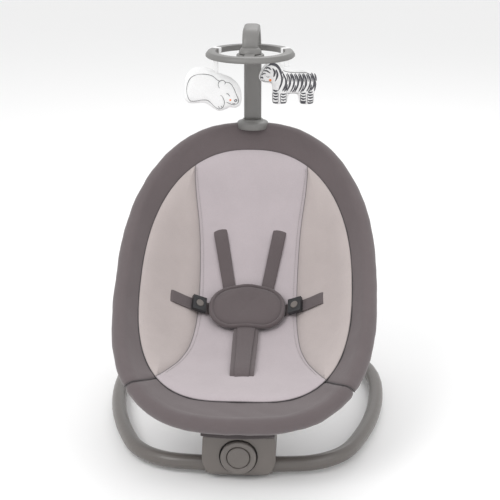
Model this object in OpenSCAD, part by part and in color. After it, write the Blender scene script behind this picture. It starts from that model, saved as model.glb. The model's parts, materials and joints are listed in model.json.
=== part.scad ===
// Powered baby swing. A floor hoop carries a drive pod at its front. The pod rocks a
// hub about an axis that leans back, and the hub carries a reclining bucket seat.
// Units are millimetres. +Z is up, -Y is the front, the floor is Z = 0.

/* [Base hoop] */
// Diameter of the hoop tube
hoop_tube_d = 26; // [22:1:30]
// Half width of the hoop, to the middle of the tube
hoop_half_w = 239; // [230:1:245]
// Place of the hoop's front run
hoop_front_y = -246; // [-250:1:-240]
// Place of the hoop's rearmost tube
hoop_rear_y = 315.5; // [310:0.5:320]
// Height of the hoop tube's middle
hoop_z = 20; // [19:1:21]

/* [Drive pod] */
// Overall width of the pod
pod_w = 122; // [118:1:126]
// Place of the pod's front face
pod_front_y = -271; // [-274:1:-268]
// Place of the pod's rear face
pod_rear_y = -162; // [-166:1:-160]
// Height of the pod's front top edge
pod_top_z = 80; // [78:1:82]
// Thickness of the plastic shells
wall = 2.6; // [2.2:0.1:3]
// Diameter of the speed dial
dial_d = 59; // [56:1:60]
// Diameter of the power button
button_d = 37; // [34:1:39]

/* [Sway drive] */
// Backward lean of the sway axis from upright
sway_lean = 20; // [20:1:20]
// Diameter of the sway shaft
shaft_d = 12; // [10:1:13]
// Teeth on the drive gear
gear_teeth = 36; // [36:1:36]
// Teeth on the motor pinion
pinion_teeth = 12; // [12:1:12]
// Module of the gears
gear_module = 1.1; // [1.1:0.1:1.1]
// Throw of the crank pin
crank_throw = 6; // [5:0.5:7]

/* [Seat] */
// Half width of the seat rim, to the middle of its tube
seat_half_w = 215; // [212:1:218]
// Length of the rim from front to head, along the seat
seat_len = 652; // [652:1:652]
// Distance from the front to the rim's widest place
seat_wide_at = 325; // [320:1:330]
// Slope of the seat from level
seat_angle = 32.5; // [32.5:0.5:32.5]
// Diameter of the rim tube
rim_tube_d = 20; // [18:1:20]
// Depth of the bucket below the rim
bucket_depth = 128; // [122:1:130]
// Hollow of the rim itself, seen from the side
rim_sag = 32; // [30:1:34]
// Thickness of the padded liner
liner_t = 9; // [7:1:10]

/* [Toy bar] */
// Width of the toy bar's post
post_w = 32; // [30:1:33]
// Depth of the toy bar's post
post_t = 18; // [16:1:20]
// Forward reach from the post to the ring's centre
bar_reach = 100; // [98:1:104]
// Outer diameter of the toy ring
ring_d = 160; // [156:1:162]
// Width of the toy ring's band
ring_band = 18; // [16:1:20]

/* [Hidden] */
$fn = 48;

grey = [0.42, 0.41, 0.39];
charcoal = [0.36, 0.33, 0.34];
pale = [0.72, 0.69, 0.68];
steel = [0.7, 0.71, 0.73];
white = [0.93, 0.93, 0.93];
black = [0.1, 0.1, 0.1];

// ---- Lofts -------------------------------------------------------------------
function flat(lists) = [for (l = lists) each l];
function middle(ring) = [for (k = [0:2]) let (v = [for (p = ring) p[k]]) sum(v) / len(v)];
function sum(v, i = 0, t = 0) = i == len(v) ? t : sum(v, i + 1, t + v[i]);

// A solid skin over rings of points, from cap point a to cap point b. Every ring runs
// anticlockwise when seen from the end that the rings travel towards.
module loft(rings, a, b) {
    n = len(rings[0]);
    m = len(rings);
    last = n * m + 1;
    polyhedron(
        points = concat([a], flat(rings), [b]),
        faces = concat(
            [for (i = [0:n - 1]) [0, 1 + i, 1 + (i + 1) % n]],
            [for (j = [0:m - 2], i = [0:n - 1], half = [0, 1])
                let (p = 1 + j * n + i, q = 1 + j * n + (i + 1) % n)
                half == 0 ? [p, q + n, q] : [p, p + n, q + n]],
            [for (i = [0:n - 1])
                [last, 1 + (m - 1) * n + (i + 1) % n, 1 + (m - 1) * n + i]]
        ),
        convexity = 6
    );
}

// A closed loop of rings, such as a tube bent into an oval.
module loop_loft(rings) {
    n = len(rings[0]);
    m = len(rings);
    polyhedron(
        points = flat(rings),
        faces = [for (j = [0:m - 1], i = [0:n - 1], half = [0, 1])
            let (k = (j + 1) % m, p = j * n + i, q = j * n + (i + 1) % n,
                 p2 = k * n + i, q2 = k * n + (i + 1) % n)
            half == 0 ? [p, q2, q] : [p, p2, q2]],
        convexity = 8
    );
}

// ---- Base hoop: tangent arcs in the floor plane ------------------------------
side_r = 600;       // long gentle side
front_r = 900;      // nearly straight front
corner_r = 112;     // front corners
hoop_mid_y = 66;    // the hoop's widest place
side_c = [hoop_half_w - side_r, hoop_mid_y];
front_c = [0, hoop_front_y + front_r];
// The rear arc meets both sides: its centre is on the axis.
rear_y = hoop_rear_y - hoop_mid_y;
rear_r = (side_r * side_r - side_c.x * side_c.x - rear_y * rear_y)
    / (2 * (side_r - rear_y));
rear_c = [0, hoop_rear_y - rear_r];
// The corner's centre lies where two circles cross, about the side's and the front's.
reach_a = side_r - corner_r;
reach_b = front_r - corner_r;
gap_v = front_c - side_c;
gap = norm(gap_v);
along = (reach_a * reach_a - reach_b * reach_b + gap * gap) / (2 * gap);
across = sqrt(reach_a * reach_a - along * along);
corner_c = side_c + gap_v / gap * along + [gap_v.y, -gap_v.x] / gap * across;
function bearing(from, to) = atan2(to.y - from.y, to.x - from.x);
rear_a = bearing(side_c, rear_c);            // where side and rear arcs meet
side_a = bearing(side_c, corner_c);          // where side and corner meet
front_a = bearing(front_c, corner_c);        // where corner and front meet
hoop_end_x = 50;                             // the tube ends inside the pod
end_a = -90 + asin(hoop_end_x / front_r);

module arc_tube(c, r, a0, a1, d) {
    translate([c.x, c.y, hoop_z])
        rotate([0, 0, a0])
            rotate_extrude(angle = a1 - a0) translate([r, 0]) circle(d = d);
}

// Middle points of an arc, each with the bearing of its outward side.
function arc(c, r, a0, a1, steps) =
    [for (k = [0:steps - 1]) let (a = a0 + (a1 - a0) * k / steps)
        [c.x + r * cos(a), c.y + r * sin(a), a]];
half_line = concat(
    arc(front_c, front_r, end_a, front_a, 6),
    arc(corner_c, corner_r, front_a, side_a, 12),
    arc(side_c, side_r, side_a, rear_a, 12),
    arc(rear_c, rear_r, rear_a, 90, 12)
);
hoop_line = concat(
    half_line,
    [[0, hoop_rear_y, 90]],
    [for (k = [len(half_line) - 1:-1:0]) let (p = half_line[k]) [-p.x, p.y, 180 - p.z]]
);

module base_hoop() {
    r = hoop_tube_d / 2;
    rings = [for (p = hoop_line) [for (t = [345:-15:0])
        [p.x + r * cos(t) * cos(p.z), p.y + r * cos(t) * sin(p.z), hoop_z + r * sin(t)]]];
    color(grey) loft(rings, middle(rings[0]), middle(rings[len(rings) - 1]));
}

// Plastic plugs that carry the tube ends inside the pod.
module hoop_end_plug() {
    color(black)
        for (side = [-1, 1]) {
            x = side * (hoop_end_x - 8);
            translate([x - 7.5, front_c.y - sqrt(front_r * front_r - x * x), hoop_z])
                rotate([0, 90, 0]) cylinder(d = hoop_tube_d - 4, h = 15);
        }
}

foot_turn = 36;     // rear feet sit this far round from the back
module rear_feet() {
    color(black)
        for (side = [-1, 1])
            difference() {
                union() {
                    arc_tube(rear_c, rear_r, 90 + side * foot_turn - 5,
                             90 + side * foot_turn + 5, hoop_tube_d + 6);
                    translate([rear_c.x, rear_c.y, 0]) rotate([0, 0, 90 + side * foot_turn])
                        translate([rear_r - 12, -15, 0]) cube([24, 30, 12]);
                }
                arc_tube(rear_c, rear_r, 90 + side * foot_turn - 7,
                         90 + side * foot_turn + 7, hoop_tube_d + 1.2);
            }
}

// ---- Drive pod ---------------------------------------------------------------
pod_mid_y = (pod_front_y + pod_rear_y) / 2;
pod_floor_z = 3;
front_bulge_r = 210;   // plan curve of the front face
low_corner_r = 34;     // round lower corners, seen from the front

function arc_points(c, r, a0, a1, n) =
    [for (k = [0:n]) let (a = a0 + (a1 - a0) * k / n) [c.x + r * cos(a), c.y + r * sin(a)]];

// Plan outline: bulged front, square-ish rear with round corners.
module pod_plan(inset) {
    w = pod_w / 2 - inset;
    front_r2 = front_bulge_r - inset;
    half_turn = asin(w / front_r2);
    r = 20 - inset;
    polygon(concat(
        arc_points([0, pod_front_y + front_bulge_r], front_r2, -90 - half_turn, -90 + half_turn, 12),
        arc_points([w - r, pod_rear_y - 20], r, 0, 90, 8),
        arc_points([r - w, pod_rear_y - 20], r, 90, 180, 8)
    ));
}

// Front outline: the sides lean in a little to the top, the lower corners are round.
module pod_face(inset) {
    w = pod_w / 2 - inset;
    r = low_corner_r - inset;
    centre_z = pod_floor_z + low_corner_r;
    polygon(concat(
        arc_points([r - w, centre_z], r, 180, 270, 10),
        arc_points([w - r, centre_z], r, 270, 360, 10),
        [[w - 3, 100], [3 - w, 100]]
    ));
}

function top_z(y) = pod_top_z - (y - pod_front_y) * tan(sway_lean);

// Side outline: the top slopes down to the rear, square to the sway axis, and the
// front's lower edge is round.
toe_r = 24;
module pod_side(inset) {
    drop = inset / cos(sway_lean);
    low = pod_floor_z + inset;
    r = toe_r - inset;
    front = pod_front_y + inset;
    polygon(concat(
        arc_points([front + r, low + r], r, 180, 270, 7),
        [[pod_rear_y + 5, low],
         [pod_rear_y + 5, top_z(pod_rear_y + 5) - drop],
         [front, top_z(front) - drop]]
    ));
}

module pod_block(inset) {
    intersection() {
        linear_extrude(120) pod_plan(inset);
        translate([0, -100, 0]) rotate([90, 0, 0]) linear_extrude(220) pod_face(inset);
        rotate([90, 0, 90]) translate([0, 0, -80]) linear_extrude(160) pod_side(inset);
    }
}

// The sway axis meets the pod's sloped top here. Children stand square to that top.
axis_y = -214;
module on_axis() {
    translate([0, axis_y, top_z(axis_y)]) rotate([-sway_lean, 0, 0]) children();
}

dial_z = 45;
module at_dial() {
    translate([0, pod_front_y, dial_z]) rotate([90, 0, 0]) children();
}

hub_seat_r = 37;
inner_x = pod_w / 2 - low_corner_r + 5.6;    // half width of the base plate
inner_y = pod_front_y + toe_r;               // front edge of the base plate
sleeve_wall = 2.4;

// Sleeves that take the hoop's ends.
module hoop_sleeves(r, x0, x1) {
    for (side = [-1, 1])
        translate([side * x0, hoop_front_y + 1, hoop_z])
            rotate([0, side * 90, 0]) cylinder(r = r, h = x1 - x0);
}

module pod_housing() {
    color(grey)
        difference() {
            union() {
                difference() {
                    pod_block(0);
                    difference() {
                        pod_block(wall);
                        on_axis() translate([0, 0, -14]) cylinder(r = 12, h = 20);
                    }
                    translate([-inner_x - 0.4, inner_y - 0.4, 0])
                        cube([2 * inner_x + 0.8, pod_rear_y - inner_y - 5.2, 5.7]);
                }
                hoop_sleeves(hoop_tube_d / 2 + sleeve_wall, 34, 56);
            }
            on_axis() translate([0, 0, -20]) cylinder(r = 9, h = 40);
            at_dial() translate([0, 0, -12]) cylinder(r = dial_d / 2 + 1.4, h = 30);
            hoop_sleeves(hoop_tube_d / 2 + 0.6, 33, 70);
            translate([-34, pod_rear_y + 1, 22]) rotate([90 + inlet_tilt, 0, 0])
                cylinder(r = 6.6, h = 6);
        }
}

module pod_base() {
    color(black)
        difference() {
            union() {
                translate([-inner_x, inner_y, 3])
                    cube([2 * inner_x, pod_rear_y - inner_y - 6, 2.4]);
                for (p = screw_places())
                    translate([p.x, p.y, 5.4]) cylinder(r = 3.6, h = 3);
            }
            for (p = screw_places())
                translate([p.x, p.y, 0]) cylinder(r = 1.6, h = 10);
            for (i = [0:4]) translate([-12 + i * 4, -212, 0]) cube([1.8, 16, 8]);
        }
}

function screw_places() = [for (sx = [-1, 1], y = [-228, -176]) [sx * 26, y]];

module pod_screws() {
    color(steel)
        for (p = screw_places())
            translate([p.x, p.y, 0]) {
                translate([0, 0, 1.4]) cylinder(r = 2.7, h = 1.6);
                translate([0, 0, 3]) cylinder(r = 1.5, h = 9);
            }
}

module pod_feet() {
    color(black)
        for (sx = [-1, 1], y = [-236, -186])
            translate([sx * 16, y, 0]) cylinder(r = 7, h = 3);
}

// The inlet looks up a little, so that a plug clears the rear of the hoop.
inlet_tilt = 4;
module dc_socket() {
    color(black)
        translate([-34, pod_rear_y - 0.5, 22]) rotate([90 + inlet_tilt, 0, 0])
            difference() {
                union() {
                    cylinder(r = 6.4, h = 3);
                    translate([0, 0, 2.6]) cylinder(r = 5.4, h = 10.4);
                }
                translate([0, 0, -1]) cylinder(r = 2.8, h = 11);
            }
}

board_y = pod_front_y + 17;
module control_board() {
    color([0.1, 0.35, 0.2])
        translate([-26, board_y, 34]) cube([52, 1.6, 32]);
}

module dial_encoder() {
    color(steel)
        at_dial() {
            translate([0, 0, -16.8]) cylinder(r = 8, h = 5);
            translate([0, 0, -11.8]) cylinder(r = 3, h = 5);
        }
}

dial_gap = 0.6;
module speed_dial() {
    r_out = dial_d / 2;
    r_in = button_d / 2 + dial_gap;
    color(grey)
        at_dial() rotate_extrude($fn = 96)
            union() {
                translate([r_in, -9]) square([r_out - r_in, 12]);
                translate([r_in + 2, 0]) square([r_out - r_in - 4, 5]);
                translate([r_in + 2, 3]) circle(r = 2, $fn = 24);
                translate([r_out - 2, 3]) circle(r = 2, $fn = 24);
            }
}

button_travel = 2;
module power_button() {
    r = button_d / 2;
    color(grey)
        at_dial() difference() {
            union() {
                translate([0, 0, -3]) cylinder(r = r, h = 5.6);
                translate([0, 0, 2.6]) cylinder(r1 = r, r2 = r - 1, h = 0.8);
            }
            translate([0, 0, 123]) sphere(r = 120.6, $fn = 128);
        }
}

module speaker() {
    color(black)
        translate([-46, -206, 34]) rotate([0, -90, 0]) {
            cylinder(r = 14, h = 4);
            translate([0, 0, -6]) cylinder(r = 8, h = 6.5);
        }
}

// Places in the tilted plane of the gears: x across, y towards the rear.
gear_c = [0, 30];
gear_r = gear_module * gear_teeth / 2;
pinion_r = gear_module * pinion_teeth / 2;
pinion_c = gear_c + [gear_r + pinion_r, 0];
gear_low = -31;      // underside of the gears, below the pod's top
gear_t = 5;
plate_low = -38;     // underside of the chassis plate

module chassis() {
    color(black)
        on_axis() difference() {
            union() {
                translate([-34, 0, plate_low]) cube([72, 46, 3]);
                translate([0, 0, plate_low]) cylinder(r = 16, h = 3);
                translate([0, 0, plate_low - 4]) cylinder(r = 12, h = 7);
                translate([gear_c.x, gear_c.y, plate_low]) cylinder(r = 5, h = 6);
                translate([40, 24, plate_low]) cube([3, 12, 16]);
                translate([37.5, 24, plate_low]) cube([3, 12, 3]);
            }
            translate([0, 0, -50]) cylinder(r = 9, h = 30);
            translate([gear_c.x, gear_c.y, -50]) cylinder(r = 2, h = 30);
        }
}

module bush(low, high) {
    color([0.75, 0.6, 0.35])
        on_axis() difference() {
            translate([0, 0, low]) cylinder(r = 9, h = high - low);
            translate([0, 0, low - 1]) cylinder(d = shaft_d + 0.1, h = high - low + 2);
        }
}

module upper_bush() bush(-14, 0);
module lower_bush() bush(plate_low - 4, plate_low + 3);

module drive_motor() {
    color(steel)
        on_axis() translate([pinion_c.x, pinion_c.y, 0]) {
            difference() {
                translate([0, 0, -23]) cylinder(r = 11.5, h = 17);
                translate([0, 0, -24]) cylinder(r = 1.05, h = 10);
            }
        }
}

// ---- Involute gear outline -----------------------------------------------------
pressure = 25;
backlash = 0.16;
function inv_angle(a) = tan(a) * 180 / PI - a;
function flank(r, rp, teeth) =
    let (rb = rp * cos(pressure), a = r > rb ? acos(rb / r) : 0)
    90 / teeth - backlash / (2 * rp) * 180 / PI + inv_angle(pressure) - inv_angle(a);
function polar(r, a) = [r * cos(a), r * sin(a)];
function gear_points(teeth) =
    let (rp = gear_module * teeth / 2, rb = rp * cos(pressure),
         ro = rp + 0.85 * gear_module, rr = rp - 1.15 * gear_module,
         rs = [for (k = [0:3]) max(rb, rr) + (ro - max(rb, rr)) * k / 3])
    [for (t = [0:teeth - 1]) let (mid = 360 * t / teeth)
        each concat(
            [polar(rr, mid - flank(rb, rp, teeth) - 0.01)],
            [for (r = rs) polar(r, mid - flank(r, rp, teeth))],
            [for (k = [3:-1:0]) polar(rs[k], mid + flank(rs[k], rp, teeth))],
            [polar(rr, mid + flank(rb, rp, teeth) + 0.01)]
        )];

module drive_gear() {
    color(white)
        on_axis() translate([gear_c.x, gear_c.y, 0]) {
            difference() {
                union() {
                    translate([0, 0, gear_low]) linear_extrude(gear_t)
                        polygon(gear_points(gear_teeth));
                    translate([0, 0, gear_low - 0.6]) cylinder(r = 4, h = gear_t + 1);
                }
                translate([0, 0, -60]) cylinder(r = 2.05, h = 60);
            }
            translate([0, -crank_throw, gear_low + gear_t]) cylinder(r = 2, h = 2.6);
        }
}

module motor_pinion() {
    color([0.8, 0.7, 0.4])
        on_axis() translate([pinion_c.x, pinion_c.y, 0]) {
            translate([0, 0, gear_low]) linear_extrude(gear_t)
                rotate([0, 0, 180 + 180 / pinion_teeth]) polygon(gear_points(pinion_teeth));
            translate([0, 0, gear_low + gear_t - 0.2]) cylinder(r = 1, h = 7);
        }
}

module gear_axle() {
    color(steel)
        on_axis() translate([gear_c.x, gear_c.y, plate_low]) cylinder(r = 2, h = 13.5);
}

// ---- Sway hub ------------------------------------------------------------------
pin_y = -195;
pin_z = 92;
ear_x = 26;
module sway_shaft() {
    color(steel)
        on_axis() translate([0, 0, plate_low - 4]) cylinder(d = shaft_d, h = 55);
}

lever_low = -22;
module sway_lever() {
    color(grey)
        on_axis() difference() {
            union() {
                translate([0, 0, lever_low]) cylinder(r = 11, h = 6);
                translate([-7, 0, lever_low]) cube([14, 40, 6]);
                translate([0, 40, lever_low]) cylinder(r = 7, h = 6);
            }
            translate([0, 0, -30]) cylinder(d = shaft_d, h = 30);
            translate([-2.2, 22, -30]) cube([4.4, 17, 30]);
            translate([0, 22, -30]) cylinder(r = 2.2, h = 30);
            translate([0, 39, -30]) cylinder(r = 2.2, h = 30);
        }
}

module sway_hub() {
    color(grey)
        difference() {
            union() {
                on_axis() {
                    translate([0, 0, 1.4]) cylinder(r = hub_seat_r, h = 8);
                    translate([0, 0, 1.4]) cylinder(r = 15, h = 12);
                }
                for (side = [-1, 1])
                    translate([side * (ear_x + 4) - 4, 0, 0])
                        rotate([90, 0, 90]) linear_extrude(8) union() {
                            translate([pin_y, pin_z]) circle(r = 13);
                            polygon([[pin_y - 26, 66], [pin_y + 14, 51],
                                     [pin_y + 12.5, pin_z - 3], [pin_y - 12.5, pin_z + 3]]);
                        }
            }
            on_axis() translate([0, 0, -2]) cylinder(d = shaft_d, h = 20);
            translate([-60, pin_y, pin_z]) rotate([0, 90, 0]) cylinder(r = 5, h = 120);
            for (side = [-1, 1])
                translate([side * (ear_x + 4), pin_y, pin_z])
                    rotate([0, side * 90, 0]) cylinder(r = 9.4, h = 10);
        }
}

module recline_pin() {
    color(steel)
        translate([-ear_x - 3.9, pin_y, pin_z]) rotate([0, 90, 0])
            cylinder(r = 5, h = 2 * ear_x + 7.8);
}

module recline_button(side) {
    color(charcoal)
        translate([side * (ear_x + 7.2), pin_y, pin_z]) rotate([0, side * 90, 0]) {
            cylinder(r = 9, h = 5);
            translate([0, 0, 5]) cylinder(r1 = 9, r2 = 8, h = 1);
        }
}

module recline_button_left() recline_button(-1);
module recline_button_right() recline_button(1);

// ---- Seat frame ------------------------------------------------------------------
front_y = -314;
front_z = 123;
head_y = front_y + seat_len * cos(seat_angle);
head_z = front_z + seat_len * sin(seat_angle);
module on_seat() {
    translate([0, front_y, front_z]) rotate([seat_angle, 0, 0]) children();
}

spine_d = 22;
spine_r = 300;
spine_turn = 72;
spine_start_y = pin_y + 26;
spine_bend_y = -85;
spine_z = pin_z + 3;
spine_rise = 152;
spine_steps = 14;
spine_line = concat(
    [[spine_start_y, spine_z, 0]],
    [for (k = [0:spine_steps]) let (a = spine_turn * k / spine_steps)
        [spine_bend_y + spine_r * sin(a), spine_z + spine_r * (1 - cos(a)), a]],
    [[spine_bend_y + spine_r * sin(spine_turn) + spine_rise * cos(spine_turn),
      spine_z + spine_r * (1 - cos(spine_turn)) + spine_rise * sin(spine_turn), spine_turn]]
);
spine_end = spine_line[len(spine_line) - 1];
module spine_tube() {
    r = spine_d / 2;
    rings = [for (p = spine_line) [for (t = [0:15:345])
        [-r * cos(t), p.x - r * sin(t) * sin(p.z), p.y + r * sin(t) * cos(p.z)]]];
    color(grey) loft(rings, middle(rings[0]), middle(rings[len(rings) - 1]));
}

module seat_bracket() {
    color(grey)
        difference() {
            union() {
                translate([-ear_x + 0.5, pin_y, pin_z]) rotate([0, 90, 0])
                    cylinder(r = 14, h = 2 * ear_x - 1);
                translate([-20, pin_y, pin_z - 11]) cube([40, 62, 27]);
                translate([-18, pin_y - 92, pin_z + 6]) cube([36, 94, 8]);
            }
            translate([0, spine_start_y, spine_z]) rotate([-90, 0, 0])
                cylinder(d = spine_d, h = 60);
            translate([-60, pin_y, pin_z]) rotate([0, 90, 0]) cylinder(r = 5.05, h = 120);
        }
}

pad_r = 14.5;          // outside of the covered rim
sleeve_r = 10.6;       // inside of the cover where it wraps the tube
band_low = 92;
band_front_y = -300;
module front_cradle() {
    color(charcoal)
        difference() {
            intersection() {
                translate([0, band_front_y + front_bulge_r, band_low])
                    cylinder(r = front_bulge_r, h = 28, $fn = 96);
                translate([-pod_w / 2 + 1, band_front_y - 5, band_low])
                    cube([pod_w - 2, 38, 28]);
            }
            translate([-80, front_y, front_z]) rotate([0, 90, 0])
                cylinder(r = pad_r + 3, h = 160);
            translate([-80, front_y + 10, front_z - 9]) cube([160, 60, 40]);
            translate([-18.2, pin_y - 92.2, 0]) cube([36.4, 100, pin_z + 14.2]);
        }
}

// ---- Seat surface ------------------------------------------------------------------
front_power = 2.8;
rear_power = 2.36;
rear_len = seat_len - seat_wide_at;
function egg(u, w, front, rear) =
    let (c = cos(u), s = sin(u), n = s < 0 ? front_power : rear_power,
         r = pow(pow(abs(c), n) + pow(abs(s), n), -1 / n))
    [w * r * c, seat_wide_at + (s < 0 ? front : rear) * r * s];
function rim(u) = egg(u, seat_half_w, seat_wide_at, rear_len);
function rim_h(s) = -4 * rim_sag * (s / seat_len) * (1 - s / seat_len);
function rim_out(u) = let (d = rim(u + 0.5) - rim(u - 0.5)) [d.y, -d.x] / norm(d);

// The bucket: depth falls from the rim to the middle, steeply at the sides and gently
// towards the head and the feet.
side_power = 2.4;
long_power = 1.32;
dish_in = 12;          // the bucket's edge lies this far inside the rim tube
dish_up = 8;
function share(x, s) =
    let (a = x / (seat_half_w - dish_in),
         v = s - seat_wide_at,
         b = v / ((v < 0 ? seat_wide_at : rear_len) - dish_in),
         n = v < 0 ? front_power : rear_power)
    [pow(pow(abs(a), n) + pow(abs(b), n), 1 / n), a * a / max(a * a + b * b, 1e-6)];
function bucket_power(q) = long_power + (side_power - long_power) * q;
function dish_h(x, s) = let (t = share(x, s))
    rim_h(s) + dish_up - bucket_depth * (1 - pow(t[0], bucket_power(t[1])));
function dish_n(x, s) = let (e = 1,
    dx = (dish_h(x + e, s) - dish_h(x - e, s)) / (2 * e),
    ds = (dish_h(x, s + e) - dish_h(x, s - e)) / (2 * e),
    l = sqrt(dx * dx + ds * ds + 1)) [-dx, -ds, 1] / l;
// A point on the bucket, raised off it by the given amount.
function dish(x, s, up = 0) = [x, s, dish_h(x, s)] + up * dish_n(x, s);
function dish_at(u, r, up) =
    let (p = egg(u, (seat_half_w - dish_in) * r, (seat_wide_at - dish_in) * r,
                 (rear_len - dish_in) * r))
    dish(p.x, p.y, up);

turns = [0:5:355];
function wrap_point(u, r, turn) =
    let (c = rim(u), o = rim_out(u))
    [c.x + o.x * r * cos(turn), c.y + o.y * r * cos(turn), rim_h(c.y) + r * sin(turn)];

// The toy bar's peg drops through the cover into the rim.
peg_r = 5;
module peg_hole() {
    translate([0, head_y, head_z - 8]) cylinder(r = peg_r + 0.6, h = 40);
}

module rim_tube() {
    color(steel)
        difference() {
            on_seat() loop_loft([for (u = turns)
                [for (a = [330:-30:0]) wrap_point(u, rim_tube_d / 2, a)]]);
            peg_hole();
        }
}

// Slope of the bucket where it leaves the rim, as an angle round the tube.
function leave(u) =
    let (c = rim(u), run = norm([c.x, c.y - seat_wide_at]), q = share(c.x, c.y)[1])
    90 + atan(bucket_depth * bucket_power(q) / run);
cover_t = pad_r - sleeve_r;
dish_steps = [0.2, 0.4, 0.58, 0.73, 0.85, 0.93];
wrap_steps = 9;
hem_end = -140;
function wrap_ring(r, k) = [for (u = turns)
    wrap_point(u, r, leave(u) + (hem_end - leave(u)) * k / wrap_steps)];

module seat_cover() {
    color(charcoal)
        difference() {
            on_seat() loft(
                concat(
                    [for (r = dish_steps) [for (u = turns) dish_at(u, r, -cover_t)]],
                    [for (k = [0:wrap_steps]) wrap_ring(sleeve_r, k)],
                    [for (k = [wrap_steps:-1:0]) wrap_ring(pad_r, k)],
                    [for (j = [len(dish_steps) - 1:-1:0])
                        [for (u = turns) dish_at(u, dish_steps[j], 0)]]
                ),
                dish(0, seat_wide_at, -cover_t), dish(0, seat_wide_at, 0)
            );
            peg_hole();
        }
}

// The padded liner stops short of the rim, further in at the feet.
side_edge = 0.925;
head_edge = 0.9;
foot_edge = 0.84;
liner_gap = 1.1;
function liner_edge(u) = let (q = sin(u) * sin(u))
    side_edge * (1 - q) + (sin(u) < 0 ? foot_edge : head_edge) * q;
liner_steps = [0.2, 0.4, 0.6, 0.78, 0.92, 1];
module seat_liner() {
    color(pale)
        on_seat() loft(
            concat(
                [for (r = liner_steps) [for (u = turns) dish_at(u, r * liner_edge(u), liner_gap)]],
                [for (j = [len(liner_steps) - 1:-1:0]) [for (u = turns)
                    dish_at(u, (liner_steps[j] - (j == 5 ? 0.012 : 0)) * liner_edge(u),
                            liner_gap + liner_t * (j == 5 ? 0.7 : 1))]]
            ),
            dish(0, seat_wide_at, liner_gap), dish(0, seat_wide_at, liner_gap + liner_t)
        );
}

// ---- Harness: strips that lie on the liner ----------------------------------------
liner_top = liner_gap + liner_t;
strap_gap = 2;
strap_t = 2.5;
// A strip through the given middle points, w wide in the direction across.
module strip(places, w, low, t, cross) {
    rings = [for (p = places) let (a = p - cross * w / 2, b = p + cross * w / 2)
        [dish(a.x, a.y, low), dish(b.x, b.y, low), dish(b.x, b.y, low + t), dish(a.x, a.y, low + t)]];
    on_seat() loft(rings, middle(rings[0]), middle(rings[len(rings) - 1]));
}

strap_w = 27;
slot_at = [56, 476];
strap_end = [30, 346];
strap_parts = 6;
module shoulder_strap(side) {
    color(charcoal)
        strip([for (k = [strap_parts:-1:0])
            let (f = k / strap_parts, p = strap_end * (1 - f) + slot_at * f) [side * p.x, p.y]],
            strap_w, liner_top + strap_gap, strap_t, [1, 0]);
}
module shoulder_strap_left() shoulder_strap(-1);
module shoulder_strap_right() shoulder_strap(1);

crotch_w = 40;
module crotch_strap() {
    color(charcoal)
        strip([for (s = [262:-12:130]) [0, s]], crotch_w, liner_top + strap_gap + 2.6, 3, [1, 0]);
}

waist_s = 322;
waist_w = 28;
module waist_strap(side) {
    xs = side > 0 ? [56:12:140] : [140:-12:56];
    color(charcoal)
        strip([for (x = xs) [side * x, waist_s]], waist_w,
              liner_top + strap_gap, strap_t, [0, 1]);
}
module waist_strap_left() waist_strap(-1);
module waist_strap_right() waist_strap(1);

pad_half = [77, 55];
pad_mid = 325;
pad_low = liner_top + strap_gap + 3.6;
pad_thick = 16;
pad_turns = [0:15:345];
function pad_ring(f, up) = [for (a = pad_turns)
    dish(pad_half.x * f * cos(a), pad_mid + pad_half.y * f * sin(a), up)];
module tummy_pad() {
    color(charcoal)
        on_seat() loft(
            [pad_ring(0.55, pad_low), pad_ring(0.96, pad_low), pad_ring(1, pad_low + 3),
             pad_ring(0.93, pad_low + 10), pad_ring(0.7, pad_low + 14.5),
             pad_ring(0.35, pad_low + pad_thick)],
            dish(0, pad_mid, pad_low), dish(0, pad_mid, pad_low + pad_thick)
        );
}

buckle_x = 96;
// Children stand on the waist strap at the buckle, +Z away from the seat.
module at_buckle(side) {
    p = dish(side * buckle_x, waist_s, liner_top + strap_gap + strap_t + 1.2);
    n = dish_n(side * buckle_x, waist_s);
    on_seat() translate(p) rotate([0, side * -acos(n.z), 0]) children();
}

module buckle(side) {
    color(black)
        at_buckle(side) difference() {
            translate([-13, -15, 0]) cube([26, 30, 8]);
            translate([0, 0, 3]) cylinder(r = 7.3, h = 10);
        }
}
module buckle_left() buckle(-1);
module buckle_right() buckle(1);

module buckle_button(side) {
    color(grey)
        at_buckle(side) translate([0, 0, 5.4]) {
            cylinder(r = 7, h = 3);
            translate([0, 0, 3]) cylinder(r1 = 7, r2 = 6, h = 0.8);
        }
}
module buckle_button_left() buckle_button(-1);
module buckle_button_right() buckle_button(1);

// ---- Toy bar ------------------------------------------------------------------------
flange_low = head_z + 4;
flange_t = 9;
neck_t = 8;
bar_low = flange_low + flange_t + neck_t + 0.6;
module toy_bar_socket() {
    color(grey)
        difference() {
            union() {
                translate([0, head_y, flange_low]) cylinder(r = 29, h = flange_t);
                translate([0, head_y, flange_low + flange_t]) cylinder(r = 18, h = neck_t);
                translate([-15, head_y + pad_r + 1.5, spine_end.y - 30])
                    cube([30, 24, flange_low + flange_t - spine_end.y + 30]);
            }
            translate([-50, head_y, head_z]) rotate([0, 90, 0]) cylinder(r = pad_r + 0.8, h = 100);
            translate([0, head_y, head_z]) cylinder(r = peg_r + 0.05, h = 90);
            translate([0, spine_bend_y, spine_z + spine_r]) rotate([spine_turn, 0, 0])
                translate([0, 0, -spine_r]) rotate([-90, 0, 0]) cylinder(d = spine_d, h = spine_rise);
        }
}

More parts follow.
